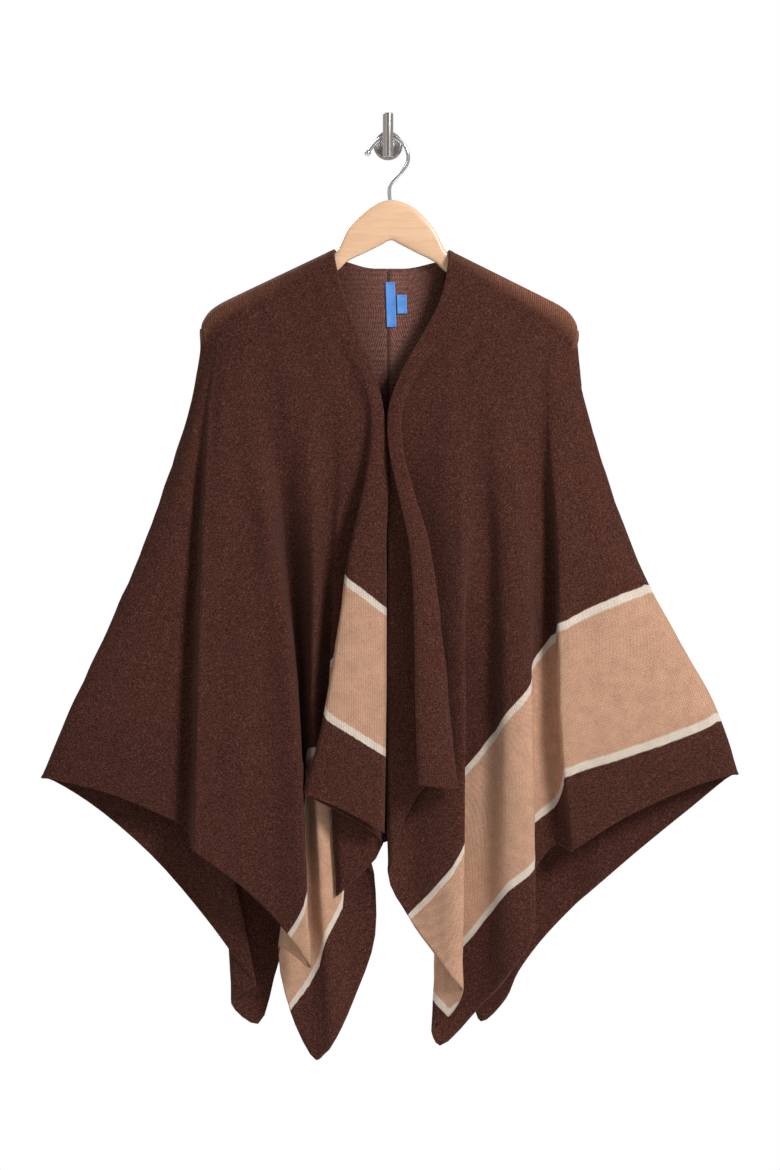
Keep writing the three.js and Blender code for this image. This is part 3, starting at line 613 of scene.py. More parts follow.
def make_panel(name, side, fronts, backs, creases, settings, material, cad_node, seed):
    """One panel as a thin shell: its fine surface with creases, then cloth places, edges and wall."""
    grid, fold_column, marks = panel_surface(side, fronts, backs, settings.columns_per_span)
    is_front = (np.arange(grid.shape[1]) <= fold_column)[None]
    normals = surface_normals(grid)
    outward = np.where(is_front, -1, 1) * np.sign(normals[..., 1])
    height = np.where(is_front, crease_height(grid, creases[0]), crease_height(grid, creases[1]))
    height += noise_height(grid, WAVE_SCALE, settings.soft_waves, seed)
    height += noise_height(grid, RIPPLE_SCALE, settings.soft_waves * RIPPLE_SHARE, seed + RIPPLE_SEED)
    fade = np.clip(np.arange(grid.shape[0]) / FADE_ROWS, 0, 1)[:, None]
    seam = np.clip((np.arange(grid.shape[1])[::-1]) / FADE_COLUMNS, 0, 1)[None]
    grid = grid + normals * (height * outward * fade * seam)[..., None]
    u, v = cloth_coordinates(grid, marks)
    rows, columns = grid.shape[:2]
    bm, verts = grid_bmesh(rows, columns, ("sheer_light", "neck", "edge_highlight"))
    uv_layer = bm.loops.layers.uv["cloth"]
    sheer_light_layer = bm.verts.layers.float["sheer_light"]
    neck_layer = bm.verts.layers.float["neck"]
    edge_highlight_layer = bm.verts.layers.float["edge_highlight"]
    deform = bm.verts.layers.deform.active
    # Mask of painted light through the stretched knit below the shoulder ridge, stronger toward the tips, on
    # the fronts only
    ridge = grid[:1, :, 2]
    below = ridge - grid[..., 2]
    along = np.clip(np.abs(grid[0, :, 0]) / SHOULDER_REACH, 0, 1)[None]
    sheer_light = np.clip(1 - below / (settings.sheer_width * (SHEER_WIDTH_LEAST + along)), 0, 1)
    sheer_light = sheer_light * np.clip(along * SHEER_GROWTH[0] - SHEER_GROWTH[1], 0, 1)
    sheer_light = np.where(is_front, sheer_light * SHOULDER_LIGHT[side], 0)
    # Mask of painted light inside the back neck, partly the paler reverse side of the knit; backs only
    neck_light = np.clip(1 - np.abs(grid[..., 0]) / NECK_LIGHT_HALF, 0, 1)
    neck_light = neck_light * np.clip((grid[..., 2] - NECK_LIGHT_LOW) / NECK_LIGHT_RISE, 0, 1)
    neck_light = np.where(is_front, 0, NECK_LIGHT[side] * neck_light)
    place = {}
    for j in range(rows):
        for i in range(columns):
            vert = verts[j][i]
            mirrored = 2 * fold_column - i
            source = mirrored if j == 0 and i > fold_column and mirrored >= 0 else i
            vert.co = Vector(grid[j, source]) * MM
            vert[sheer_light_layer] = float(sheer_light[j, i])
            vert[neck_layer] = float(neck_light[j, i])
            to_seam = columns - 1 - i if j else len(EDGE_WEIGHTS)
            to_edge = min(rows - 1 - j, to_seam, i)
            # Painted highlight on the outermost row at the finished edges
            vert[edge_highlight_layer] = 1.0 if to_edge == 0 else 0.0
            vert[deform][0] = EDGE_WEIGHTS[to_edge] if to_edge < len(EDGE_WEIGHTS) else INNER_WEIGHT
            place[vert] = (j, i)
    for face in bm.faces:
        for loop in face.loops:
            j, i = place[loop.vert]
            loop[uv_layer].uv = (float(u[j, i]) * MM, float(v[j, i]) * MM)
    if side == "right":
        bmesh.ops.reverse_faces(bm, faces=bm.faces)
    top = [verts[0][i] for i in range(min(columns, 2 * fold_column + 1))]
    bmesh.ops.remove_doubles(bm, verts=top, dist=WELD)
    panel = mesh_object(name, bm, material)
    panel.vertex_groups.new(name="wall")
    wall = panel.modifiers.new("Wall", "SOLIDIFY")
    wall.thickness = settings.edge_wall * MM
    wall.offset = 0
    wall.vertex_group = "wall"
    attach(panel, "root")
    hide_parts(cad_node)


def new_material(name):
    material = bpy.data.materials.new(name)
    material.use_nodes = True
    tree = material.node_tree
    shader = tree.nodes["Principled BSDF"]
    return material, tree, shader


def node(tree, kind, links=None, **values):
    """Adds a node, sets its properties and plain inputs, and links its inputs."""
    made = tree.nodes.new(kind)
    for key, value in values.items():
        if hasattr(made, key):
            setattr(made, key, value)
        else:
            made.inputs[key.replace("_", " ")].default_value = value
    for key, source in (links or {}).items():
        tree.links.new(source, made.inputs[key])
    return made


def noise_fac(tree, source, scale, detail, roughness=0.5, distortion=0.0):
    made = node(
        tree, "ShaderNodeTexNoise", {"Vector": source},
        Scale=scale, Detail=detail, Roughness=roughness, Distortion=distortion,
    )
    return made.outputs["Fac"]


def object_places(tree, stretch=None):
    """The Object coordinates, stretched if asked."""
    places = node(tree, "ShaderNodeTexCoord").outputs["Object"]
    if stretch is None:
        return places
    return node(tree, "ShaderNodeMapping", {"Vector": places}, Scale=stretch).outputs["Vector"]


def attribute_fac(tree, name):
    return node(tree, "ShaderNodeAttribute", attribute_name=name).outputs["Fac"]


def maths(tree, operation, first, second=None):
    """A Math node. first and second are sockets or numbers."""
    made = tree.nodes.new("ShaderNodeMath")
    made.operation = operation
    for index, value in enumerate((first, second)):
        if value is None:
            continue
        if isinstance(value, (int, float)):
            made.inputs[index].default_value = value
        else:
            tree.links.new(value, made.inputs[index])
    return made.outputs[0]


def ramp(tree, source, stops):
    made = tree.nodes.new("ShaderNodeValToRGB")
    elements = made.color_ramp.elements
    while len(elements) < len(stops):
        elements.new(0.5)
    for element, (position, colour) in zip(elements, stops):
        element.position = position
        element.color = (*colour, 1) if len(colour) == 3 else colour
    tree.links.new(source, made.inputs["Fac"])
    return made.outputs["Color"]


def mix_colour(tree, factor, first, second, blend="MIX"):
    made = tree.nodes.new("ShaderNodeMix")
    made.data_type = "RGBA"
    made.blend_type = blend
    made.clamp_factor = True
    for index, value in ((0, factor), (6, first), (7, second)):
        if isinstance(value, (int, float)):
            made.inputs[index].default_value = value
        elif isinstance(value, tuple):
            made.inputs[index].default_value = (*value, 1)
        else:
            tree.links.new(value, made.inputs[index])
    return made.outputs[2]


def band_stops(border, line, band, cream_width):
    """Ramp stops over the cloth's v: border, cream line, band, cream line, border."""
    half = cream_width / 2
    edges = [-half, half, BAND_WIDTH - half, BAND_WIDTH + half]
    colours = [border, line, band, line, border]
    stops = []
    for edge, before, after in zip(edges, colours, colours[1:]):
        stops.append(((edge - LINE_SOFT - RAMP_FROM) / RAMP_RANGE, before))
        stops.append(((edge + LINE_SOFT - RAMP_FROM) / RAMP_RANGE, after))
    return stops


def knit_material(name, knit, tone):
    """Heathered jersey: bands and loops by the "cloth" UV, fibres and patches by the place in space."""
    material, tree, shader = new_material(name)
    uv = node(tree, "ShaderNodeUVMap", uv_map="cloth").outputs["UV"]
    split = node(tree, "ShaderNodeSeparateXYZ", {"Vector": uv})
    u, v = split.outputs["X"], split.outputs["Y"]
    wobble = noise_fac(tree, uv, *WOBBLE_NOISE)
    wavy = maths(tree, "ADD", v, maths(tree, "MULTIPLY", maths(tree, "SUBTRACT", wobble, 0.5), LINE_WOBBLE))
    on_ramp = maths(tree, "DIVIDE", maths(tree, "SUBTRACT", wavy, RAMP_FROM * MM), RAMP_RANGE * MM)
    brown = tuple(c * tone for c in knit.brown)
    yarn = ramp(tree, on_ramp, band_stops(brown, tuple(knit.cream), tuple(knit.tan), knit.cream_width))
    fibres = band_stops((1, 1, 1), (LINE_FIBRES,) * 3, (BAND_FIBRES,) * 3, knit.cream_width)
    strength = ramp(tree, on_ramp, fibres)

    solid = object_places(tree)
    fibre = noise_fac(tree, solid, *FIBRE_NOISE)
    patch = noise_fac(tree, solid, *PATCH_NOISE)
    fleck = noise_fac(tree, solid, *FLECK_NOISE)
    light_fibre = maths(tree, "MULTIPLY", ramp(tree, fibre, ((0.42, (0, 0, 0)), (0.66, (1, 1, 1)))), strength)
    dark_fibre = maths(tree, "MULTIPLY", ramp(tree, fibre, ((0.34, (1, 1, 1)), (0.5, (0, 0, 0)))), strength)
    soft_patch = ramp(tree, patch, ((0.3, (0.9, 0.9, 0.9)), (0.7, (1.1, 1.1, 1.1))))
    flecks = maths(tree, "MULTIPLY", ramp(tree, fleck, ((0.56, (0, 0, 0)), (0.66, (1, 1, 1)))), FLECK_SHARE)
    pale = tuple(knit.light_fibre)
    colour = mix_colour(tree, 1.0, yarn, soft_patch, "MULTIPLY")
    colour = mix_colour(tree, maths(tree, "MULTIPLY", light_fibre, PALE_SHARE), colour, pale, "SCREEN")
    colour = mix_colour(tree, maths(tree, "MULTIPLY", dark_fibre, DEEP_SHARE), colour, DEEP_TINT, "MULTIPLY")
    colour = mix_colour(tree, flecks, colour, pale, "SCREEN")

    wale = maths(tree, "DIVIDE", u, knit.wale * MM)
    course = maths(tree, "DIVIDE", v, knit.course * MM)
    leg = maths(tree, "PINGPONG", wale, 0.5)
    slanted = maths(tree, "ADD", course, maths(tree, "MULTIPLY", leg, LOOP_SLANT))
    loop = maths(tree, "SINE", maths(tree, "MULTIPLY", slanted, 2 * math.pi))
    loop = maths(tree, "ADD", maths(tree, "MULTIPLY", loop, 0.5), 0.5)
    gap = maths(tree, "MINIMUM", maths(tree, "MULTIPLY", leg, GAP_STEEPNESS), 1.0)
    stitch = maths(tree, "ADD", maths(tree, "MULTIPLY", loop, 1 - LOOP_LEAST), LOOP_LEAST)
    stitch = maths(tree, "MULTIPLY", stitch, gap)
    shade = ramp(tree, stitch, ((0.0, (0.62, 0.59, 0.57)), (1.0, (1.1, 1.1, 1.1))))
    colour = mix_colour(tree, LOOP_SHARE, colour, shade, "MULTIPLY")

    # Painted light through the stretched knit at the shoulders and at the back neck, mixed in where the loops
    # open
    sheer_light = attribute_fac(tree, "sheer_light")
    neck = attribute_fac(tree, "neck")
    facing = node(tree, "ShaderNodeTexCoord").outputs["Normal"]
    facing = node(tree, "ShaderNodeSeparateXYZ", {"Vector": facing}).outputs["Y"]
    # The inside of the back neck, on faces turned to the front, is paler partly as the knit's reverse side
    # and partly as painted light
    reverse_side = maths(tree, "LESS_THAN", facing, 0.0)
    inside = maths(tree, "MULTIPLY", neck, reverse_side)
    rows = maths(tree, "SINE", maths(tree, "MULTIPLY", course, math.pi * ROW_PACE))
    rows = maths(tree, "ADD", maths(tree, "MULTIPLY", rows, ROW_WAVE), 1 - ROW_WAVE)
    closed = maths(tree, "ADD", gap, maths(tree, "MULTIPLY", loop, OPEN_LOOP))
    open_loops = maths(tree, "SUBTRACT", OPEN_MOST, closed)
    uneven = maths(tree, "ADD", maths(tree, "MULTIPLY", wobble, UNEVEN_GAIN), UNEVEN_BASE)
    passing = maths(tree, "MULTIPLY", maths(tree, "MULTIPLY", rows, open_loops), uneven)
    for amount, light in ((sheer_light, knit.stretched), (inside, knit.neck_light_colour)):
        colour = mix_colour(tree, maths(tree, "MULTIPLY", amount, passing), colour, tuple(light))
    # Painted highlight along the finished edges, mixed toward the pale fibre colour
    edge_highlight = maths(tree, "POWER", attribute_fac(tree, "edge_highlight"), EDGE_HIGHLIGHT_POWER)
    edge_highlight = maths(tree, "MULTIPLY", edge_highlight, EDGE_HIGHLIGHT_SHARE)
    colour = mix_colour(tree, edge_highlight, colour, pale)
    tree.links.new(colour, shader.inputs["Base Color"])

    height = maths(tree, "ADD", stitch, maths(tree, "MULTIPLY", fibre, FIBRE_RELIEF))
    bump = node(tree, "ShaderNodeBump", {"Height": height}, Strength=0.55, Distance=0.0005)
    tree.links.new(bump.outputs["Normal"], shader.inputs["Normal"])
    shader.inputs["Roughness"].default_value = KNIT_ROUGHNESS
    shader.inputs["Specular IOR Level"].default_value = 0.12
    shader.inputs["Sheen Weight"].default_value = knit.sheen
    shader.inputs["Sheen Roughness"].default_value = 0.5
    shader.inputs["Sheen Tint"].default_value = (0.95, 0.75, 0.65, 1)
    return material


def ribbon_material(name, labels):
    material, tree, shader = new_material(name)
    uv = node(tree, "ShaderNodeUVMap", uv_map="cloth").outputs["UV"]
    split = node(tree, "ShaderNodeSeparateXYZ", {"Vector": uv})
    warp = maths(tree, "SINE", maths(tree, "MULTIPLY", split.outputs["X"], 2 * math.pi / WARP_STEP))
    weft = maths(tree, "SINE", maths(tree, "MULTIPLY", split.outputs["Y"], 2 * math.pi / WEFT_STEP))
    weave = maths(tree, "MULTIPLY", warp, weft)
    shine = noise_fac(tree, uv, *RIBBON_NOISE)
    blue = tuple(labels.ribbon)
    pale = tuple(min(1, c * 1.25 + 0.03) for c in blue)
    colour = ramp(tree, shine, ((0.3, blue), (0.75, pale)))
    threads = maths(tree, "ADD", maths(tree, "MULTIPLY", weave, 0.05), 0.95)
    colour = mix_colour(tree, 1.0, colour, threads, "MULTIPLY")
    tree.links.new(colour, shader.inputs["Base Color"])
    bump = node(tree, "ShaderNodeBump", {"Height": weave}, Strength=0.3, Distance=0.0001)
    tree.links.new(bump.outputs["Normal"], shader.inputs["Normal"])
    shader.inputs["Roughness"].default_value = 0.5
    shader.inputs["Sheen Weight"].default_value = 0.3
    return material


def thread_material(name, colour_value):
    material, tree, shader = new_material(name)
    ply = noise_fac(tree, object_places(tree), *PLY_NOISE)
    dark = tuple(c * 0.7 for c in colour_value)
    light = tuple(min(1, c * 1.3) for c in colour_value)
    tree.links.new(ramp(tree, ply, ((0.35, dark), (0.65, light))), shader.inputs["Base Color"])
    bump = node(tree, "ShaderNodeBump", {"Height": ply}, Strength=0.4, Distance=0.0002)
    tree.links.new(bump.outputs["Normal"], shader.inputs["Normal"])
    shader.inputs["Roughness"].default_value = 0.9
    return material


def wood_material(name, hanger):
    material, tree, shader = new_material(name)
    lengthwise = object_places(tree, GRAIN_STRETCH)
    grain = noise_fac(tree, lengthwise, *GRAIN_NOISE)
    broad = noise_fac(tree, lengthwise, *BROAD_NOISE)
    flecked = object_places(tree, FLECK_STRETCH)
    flecks = node(
        tree, "ShaderNodeTexVoronoi", {"Vector": flecked}, Scale=WOOD_FLECK_SIZE, Randomness=1.0
    ).outputs["Distance"]
    base = ramp(tree, broad, ((0.3, tuple(hanger.wood_dark)), (0.7, tuple(hanger.wood_light))))
    lines = ramp(tree, grain, ((0.35, (0.86, 0.8, 0.72)), (0.6, (1.0, 1.0, 1.0))))
    colour = mix_colour(tree, GRAIN_SHARE, base, lines, "MULTIPLY")
    small = ramp(tree, flecks, ((0.06, (0.82, 0.72, 0.62)), (0.16, (1.0, 1.0, 1.0))))
    colour = mix_colour(tree, WOOD_FLECK_SHARE, colour, small, "MULTIPLY")
    tree.links.new(colour, shader.inputs["Base Color"])
    bump = node(tree, "ShaderNodeBump", {"Height": grain}, Strength=0.08, Distance=0.0003)
    tree.links.new(bump.outputs["Normal"], shader.inputs["Normal"])
    shader.inputs["Roughness"].default_value = 0.38
    shader.inputs["Coat Weight"].default_value = 0.5
    shader.inputs["Coat Roughness"].default_value = 0.14
    return material


def metal_material(name, colour_value, roughness, brushing):
    """Metal with fine lines, as left by turning or drawing, and slight wear in its gloss."""
    material, tree, shader = new_material(name)
    lines = noise_fac(tree, object_places(tree, brushing), *BRUSH_NOISE)
    wear = noise_fac(tree, object_places(tree), *WEAR_NOISE)
    dark = tuple(c * 0.82 for c in colour_value)
    tree.links.new(ramp(tree, lines, ((0.35, dark), (0.65, colour_value))), shader.inputs["Base Color"])
    gloss = ramp(tree, wear, ((0.3, (roughness * 0.8,) * 3), (0.7, (roughness * 1.25,) * 3)))
    tree.links.new(gloss, shader.inputs["Roughness"])
    bump = node(tree, "ShaderNodeBump", {"Height": lines}, Strength=0.06, Distance=0.0002)
    tree.links.new(bump.outputs["Normal"], shader.inputs["Normal"])
    shader.inputs["Metallic"].default_value = 1.0
    return material


def floor_material(name, colour_value):
    material, tree, shader = new_material(name)
    shader.inputs["Base Color"].default_value = (*colour_value, 1)
    shader.inputs["Roughness"].default_value = 0.9
    return material


def back_depth_at(x, z):
    """Depth of the backs' middle surface in front of the wall, near the neck."""
    side = "left" if x < 0 else "right"
    rows = read_table(BACK_COLUMNS, LEFT_BACK if x < 0 else RIGHT_BACK)
    best = None
    for step in range(BACK_SEARCH + 1):
        along = -step / BACK_SEARCH
        row = {name: column_at(rows, name, along) for name in BACK_COLUMNS}
        row["along"] = along
        column = smooth(back_line(side, row), BACK_SEARCH_STEPS)
        place = np.argmin(np.hypot(column[:, 0] - x, column[:, 2] - z))
        distance = math.hypot(column[place, 0] - x, column[place, 2] - z)
        if best is None or distance < best[0]:
            best = (distance, -column[place, 1])
    return best[1]


def add_stitch(bm, centre, half_sizes, turn=0.0):
    """A small rounded stitch, turned by some degrees about Y."""
    shape = Matrix.Rotation(math.radians(turn), 4, "Y") @ Matrix.Diagonal((*[h * MM for h in half_sizes], 1))
    place = Matrix.Translation(Vector(centre) * MM)
    bmesh.ops.create_icosphere(bm, subdivisions=1, radius=1, matrix=place @ shape)


def make_label(name, settings, material, thread):
    """Blank woven ribbon that follows the back neck, sewn down at its top."""
    label = LABELS[name]
    across, down = LABEL_STEPS
    wall = CLOTH_WALL / 2 + SEAM_GAP + settings.thickness
    bm, verts = grid_bmesh(down + 1, across + 1)
    uv_layer = bm.loops.layers.uv["cloth"]
    place = {}
    sag = np.linspace(0, 1, down + 1)
    depths = [back_depth_at(label["x"], label["top"] - t * label["height"]) for t in sag]
    for j in range(down + 1):
        for i in range(across + 1):
            u = (i / across - 0.5) * label["width"]
            v = sag[j] * label["height"]
            x = label["x"] + u + v * label["tilt"]
            z = label["top"] - v + u * label["tilt"]
            wave = LABEL_WAVE[0] * math.sin(sag[j] * math.pi * LABEL_WAVE[1]) ** 2
            curl = LABEL_CURL * (2 * i / across - 1) ** 2 + wave
            verts[j][i].co = Vector(point(x, z, depths[j] + wall + curl)) * MM
            place[verts[j][i]] = (u, v)
    for face in bm.faces:
        for loop in face.loops:
            loop[uv_layer].uv = Vector(place[loop.vert]) * MM
    ribbon = mesh_object(name + "_ribbon", bm, material)
    solid = ribbon.modifiers.new("Wall", "SOLIDIFY")
    solid.thickness = settings.thickness * MM
    solid.offset = 0
    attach(ribbon, "root")
    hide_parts(name)

    bm = bmesh.new()
    count = int(label["width"] / settings.stitch)
    for k in range(count):
        u = ((k + 0.5) / count - 0.5) * (label["width"] - LABEL_STITCH_MARGIN)
        z = label["top"] - LABEL_STITCH_DROP + u * label["tilt"]
        lift = wall + settings.thickness / 2 + LABEL_STITCH_LIFT + LABEL_CURL * (2 * u / label["width"]) ** 2
        add_stitch(bm, point(label["x"] + u, z, depths[1] + lift), LABEL_STITCH)
    stitches = mesh_object(name + "_stitches", bm, thread)
    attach(stitches, "root")


def make_seam(settings, material):
    """Flat seam that joins the two backs: a ridge in the gap, with stitches over it on both sides."""
    bm = bmesh.new()
    rows = read_table(BACK_COLUMNS, LEFT_BACK)
    line = smooth(back_line("left", rows[-1]), SEAM_STEPS)
    lengths = np.concatenate([[0], np.cumsum(np.linalg.norm(np.diff(line, axis=0), axis=1))])
    count = int(lengths[-1] / settings.seam_stitch)
    for k in range(count):
        at = (k + 0.5) / count * lengths[-1]
        place = [np.interp(at, lengths, line[:, axis]) for axis in range(3)]
        turn = SEAM_STITCH_TURN if k % 2 else -SEAM_STITCH_TURN
        for side in (-1, 1):
            y = place[1] + side * (settings.edge_wall / 2 + SEAM_STITCH_LIFT)
            add_stitch(bm, (0, y, place[2]), SEAM_STITCH, turn)
    seam = mesh_object("centre_back_seam", bm, material)
    angles = 2 * math.pi * (np.arange(SEAM_SIDES) + 0.5) / SEAM_SIDES
    across, deep = SEAM_RIDGE[0] * np.cos(angles), SEAM_RIDGE[1] * np.sin(angles)
    rings = [np.stack([across, p[1] + deep, np.full(SEAM_SIDES, p[2])], axis=1) for p in line[2:]]
    ridge = mesh_object("centre_back_ridge", ring_loft(np.array(rings)), material)
    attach(ridge, "root")
    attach(seam, "root")


def ring_loft(rings):
    """A closed bmesh through rings of points: a grid whose first and last columns are welded."""
    count, sides = rings.shape[:2]
    bm, verts = grid_bmesh(count, sides + 1)
    for j in range(count):
        for i in range(sides + 1):
            verts[j][i].co = Vector(rings[j, i % sides]) * MM
    seam = [verts[j][i] for j in range(count) for i in (0, sides)]
    bmesh.ops.remove_doubles(bm, verts=seam, dist=WELD)
    bmesh.ops.holes_fill(bm, edges=[e for e in bm.edges if e.is_boundary], sides=0)
    bmesh.ops.recalc_face_normals(bm, faces=bm.faces)
    return bm


def make_hanger(settings, material):
    """One loft from the left arm's end over the crown to the right arm's end."""
    stations = []
    for side in ("left", "right"):
        arm = []
        for along in ARM_ALONGS:
            p = ridge_point(side, along)
            top = p[2] - ARM_CLEARANCE - (ARM_NECK_DROP if along == 0 else 0)
            squareness = ARM_SQUARENESS if along > NECK_ALONG else NECK_SQUARENESS
            arm.append((p[0], top, mix(ARM_HEIGHT, ARM_TIP_HEIGHT, along), squareness))
        stations.append(arm)
    crown = [(x, top, height, CROWN_SQUARENESS) for x, top, height in CROWN_SECTIONS]
    line = np.array(stations[0] + crown + stations[1][::-1])
    fine = smooth(line, [settings.sections] * (len(line) - 1))
    from_end = np.arange(len(fine)) / (settings.sections * END_SECTIONS)
    end_sizes = np.sqrt(np.clip(1 - (1 - from_end) ** 2, 0, 1))
    end_sizes[from_end >= 1] = 1
    end_sizes[0] = END_SIZE
    rings = []
    for k, (x, top, height, squareness) in enumerate(fine):
        size = min(end_sizes[k], end_sizes[len(fine) - 1 - k])
        angles = 2 * math.pi * (np.arange(settings.sides) + 0.5) / settings.sides
        across = np.sign(np.cos(angles)) * np.abs(np.cos(angles)) ** squareness
        upward = np.sign(np.sin(angles)) * np.abs(np.sin(angles)) ** squareness
        middle = top - height / 2
        depth = -RIDGE_DEPTH + across * size * settings.thickness / 2
        heights = middle + upward * size * height / 2
        rings.append(np.stack([np.full(settings.sides, x), depth, heights], axis=1))
    wood = mesh_object("hanger_wood_arm", ring_loft(np.array(rings)), material)
    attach(wood, "root")
    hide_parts("hanger_wood")


def make_hook(settings, material):
    """Bent wire with a ball tip."""
    route = [point(x, z, RIDGE_DEPTH) for x, z in HOOK_ROUTE]
    line = smooth(route, [HOOK_STEPS] * (len(route) - 1))
    tangents = np.gradient(line, axis=0)
    tangents /= np.linalg.norm(tangents, axis=1, keepdims=True)
    depth_way = np.array((0.0, 1.0, 0.0))
    angles = 2 * math.pi * np.arange(HOOK_SIDES) / HOOK_SIDES
    rings = []
    for p, tangent in zip(line, tangents):
        sideways = np.cross(tangent, depth_way)
        round_it = np.cos(angles)[:, None] * sideways + np.sin(angles)[:, None] * depth_way
        rings.append(p + settings.wire * round_it)
    bm = ring_loft(np.array(rings))
    ball = Matrix.Translation(Vector(point(*HOOK_BALL, RIDGE_DEPTH)) * MM)
    segments = {"u_segments": BALL_SEGMENTS[0], "v_segments": BALL_SEGMENTS[1]}
    bmesh.ops.create_uvsphere(bm, radius=BALL_RADIUS * MM, matrix=ball, **segments)
    hook = mesh_object("hanger_hook_wire", bm, material)
    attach(hook, "root")
    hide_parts("hanger_hook")


def lathe(profile, axis, centre):
    """Spins a profile of (radius, height) pairs about an axis through centre into a closed form."""
    bm = bmesh.new()
    side = Vector((1, 0, 0))
    places = [side * radius * MM + axis * height * MM + centre * MM for radius, height in profile]
    verts = [bm.verts.new(place) for place in places]
    edges = [bm.edges.new(pair) for pair in zip(verts, verts[1:])]
    turn = {"cent": centre * MM, "axis": axis, "angle": 2 * math.pi, "steps": LATHE_STEPS}
    bmesh.ops.spin(bm, geom=verts + edges, use_merge=True, **turn)
    bmesh.ops.remove_doubles(bm, verts=bm.verts, dist=WELD)
    bmesh.ops.recalc_face_normals(bm, faces=bm.faces)
    return bm


def rounded(profile, radius, steps=4):
    """A profile with the corners between its ends rounded off."""
    out = [profile[0]]
    for before, corner, after in zip(profile, profile[1:], profile[2:]):
        a, b, c = (np.array(p, float) for p in (before, corner, after))
        cut = min(radius, np.linalg.norm(a - b) / CORNER_LIMIT, np.linalg.norm(c - b) / CORNER_LIMIT)
        start = b + (a - b) / np.linalg.norm(a - b) * cut
        end = b + (c - b) / np.linalg.norm(c - b) * cut
        for k in range(steps + 1):
            t = k / steps
            out.append(tuple((1 - t) ** 2 * start + 2 * t * (1 - t) * b + t * t * end))
    out.append(profile[-1])
    return out


def make_peg(settings, material, bar_material):
    """Round wall plate with its post, and the upright bar, whose top is slightly dished."""
    post_end = settings.bar_depth - settings.bar_radius - SEAM_GAP
    wide, post = settings.plate_radius, settings.post_radius
    plate = [
        (0, 0), (wide, 0), (wide, PLATE_RIM), (wide - PLATE_BEVEL, PLATE_FACE),
        (post + POST_FILLET[0], PLATE_FACE), (post, POST_FILLET[1]), (post, post_end), (0, post_end),
    ]
    turned = lathe(rounded(plate, PLATE_ROUNDING), Vector((0, -1, 0)), Vector((0, 0, 0)))
    rose = mesh_object("peg_plate_rose", turned, material)
    r = settings.bar_radius
    outer, inner, deep = BAR_DISH
    bar = [
        (0, BAR_LOW), (r - BAR_BEVEL, BAR_LOW), (r, BAR_LOW + BAR_BEVEL), (r, BAR_HIGH - BAR_BEVEL),
        (r - BAR_BEVEL, BAR_HIGH), (r - outer, BAR_HIGH), (r - inner, BAR_HIGH - deep), (0, BAR_HIGH - deep),
    ]
    upright = lathe(rounded(bar, BAR_ROUNDING), Vector((0, 0, 1)), Vector((0, -settings.bar_depth, 0)))
    knob = mesh_object("peg_knob_bar", upright, bar_material)
    for piece, cad_node in ((rose, "peg_plate"), (knob, "peg_knob")):
        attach(piece, "root")
        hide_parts(cad_node)


class KnitSettings(bpy.types.PropertyGroup):
    columns_per_span: IntProperty(
        name="Columns per Fold", description="Fine mesh columns between two fold lines",
        default=4, min=2, max=6,
    )
    edge_wall: FloatProperty(
        name="Edge Wall", description="Thickness at the finished edges, in millimetres",
        default=2.8, min=1, max=4,
    )
    soft_waves: FloatProperty(
        name="Soft Waves", description="Height of the cloth's slight unevenness, in millimetres",
        default=1.6, min=0,
    )
    wale: FloatProperty(
        name="Wale", description="Width of one column of loops, in millimetres", default=2.6, min=1
    )
    course: FloatProperty(
        name="Course", description="Height of one row of loops, in millimetres", default=2.9, min=1
    )
    cream_width: FloatProperty(
        name="Cream Line", description="Width of the cream lines, in millimetres", default=9.0, min=2
    )
    sheer_width: FloatProperty(
        name="Stretched Width", description="Depth of the stretched zone at the shoulders, in millimetres",
        default=17,
    )
    sheen: FloatProperty(
        name="Fuzz Sheen", description="Weight of the soft fuzz's sheen", default=0.06, min=0, max=1
    )
    brown: FloatVectorProperty(
        name="Brown Yarn", description="Main colour", subtype="COLOR", size=3, default=(0.043, 0.012, 0.0078)
    )
    tan: FloatVectorProperty(
        name="Tan Yarn", description="Colour of the band", subtype="COLOR", size=3, default=(0.55, 0.32, 0.21)
    )
    cream: FloatVectorProperty(
        name="Cream Yarn", description="Colour of the thin lines",
        subtype="COLOR", size=3, default=(0.7, 0.6, 0.5),
    )
    light_fibre: FloatVectorProperty(
        name="Light Fibres", description="Colour of the pale fibres",
        subtype="COLOR", size=3, default=(0.12, 0.05, 0.036),
    )
    stretched: FloatVectorProperty(
        name="Stretched Knit", description="Colour where light comes through", subtype="COLOR", size=3,
        default=(0.36, 0.15, 0.085),
    )
    # Colour of the painted light inside the back neck
    neck_light_colour: FloatVectorProperty(
        name="Stretched Inside", description="Colour of the stretched knit inside the neck",
        subtype="COLOR", size=3,
        default=(0.34, 0.165, 0.135),
    )


class LabelSettings(bpy.types.PropertyGroup):
    thickness: FloatProperty(
        name="Ribbon Thickness", description="Thickness of the ribbon, in millimetres", default=0.5, min=0.2
    )
    stitch: FloatProperty(
        name="Stitch Length", description="Length of a stitch, in millimetres", default=1.5, min=0.5
    )
    ribbon: FloatVectorProperty(
        name="Ribbon", description="Colour of the ribbon", subtype="COLOR", size=3, default=(0.07, 0.26, 0.69)
    )


class SeamSettings(bpy.types.PropertyGroup):
    edge_wall: FloatProperty(
        name="Seam Wall", description="Thickness of the cloth at the seam, in millimetres", default=2.8, min=1
    )
    seam_stitch: FloatProperty(
        name="Stitch Spacing", description="Distance between two stitches, in millimetres", default=3.2, min=1
    )
    thread: FloatVectorProperty(
        name="Thread", description="Colour of the seam thread",
        subtype="COLOR", size=3, default=(0.06, 0.024, 0.017),
    )


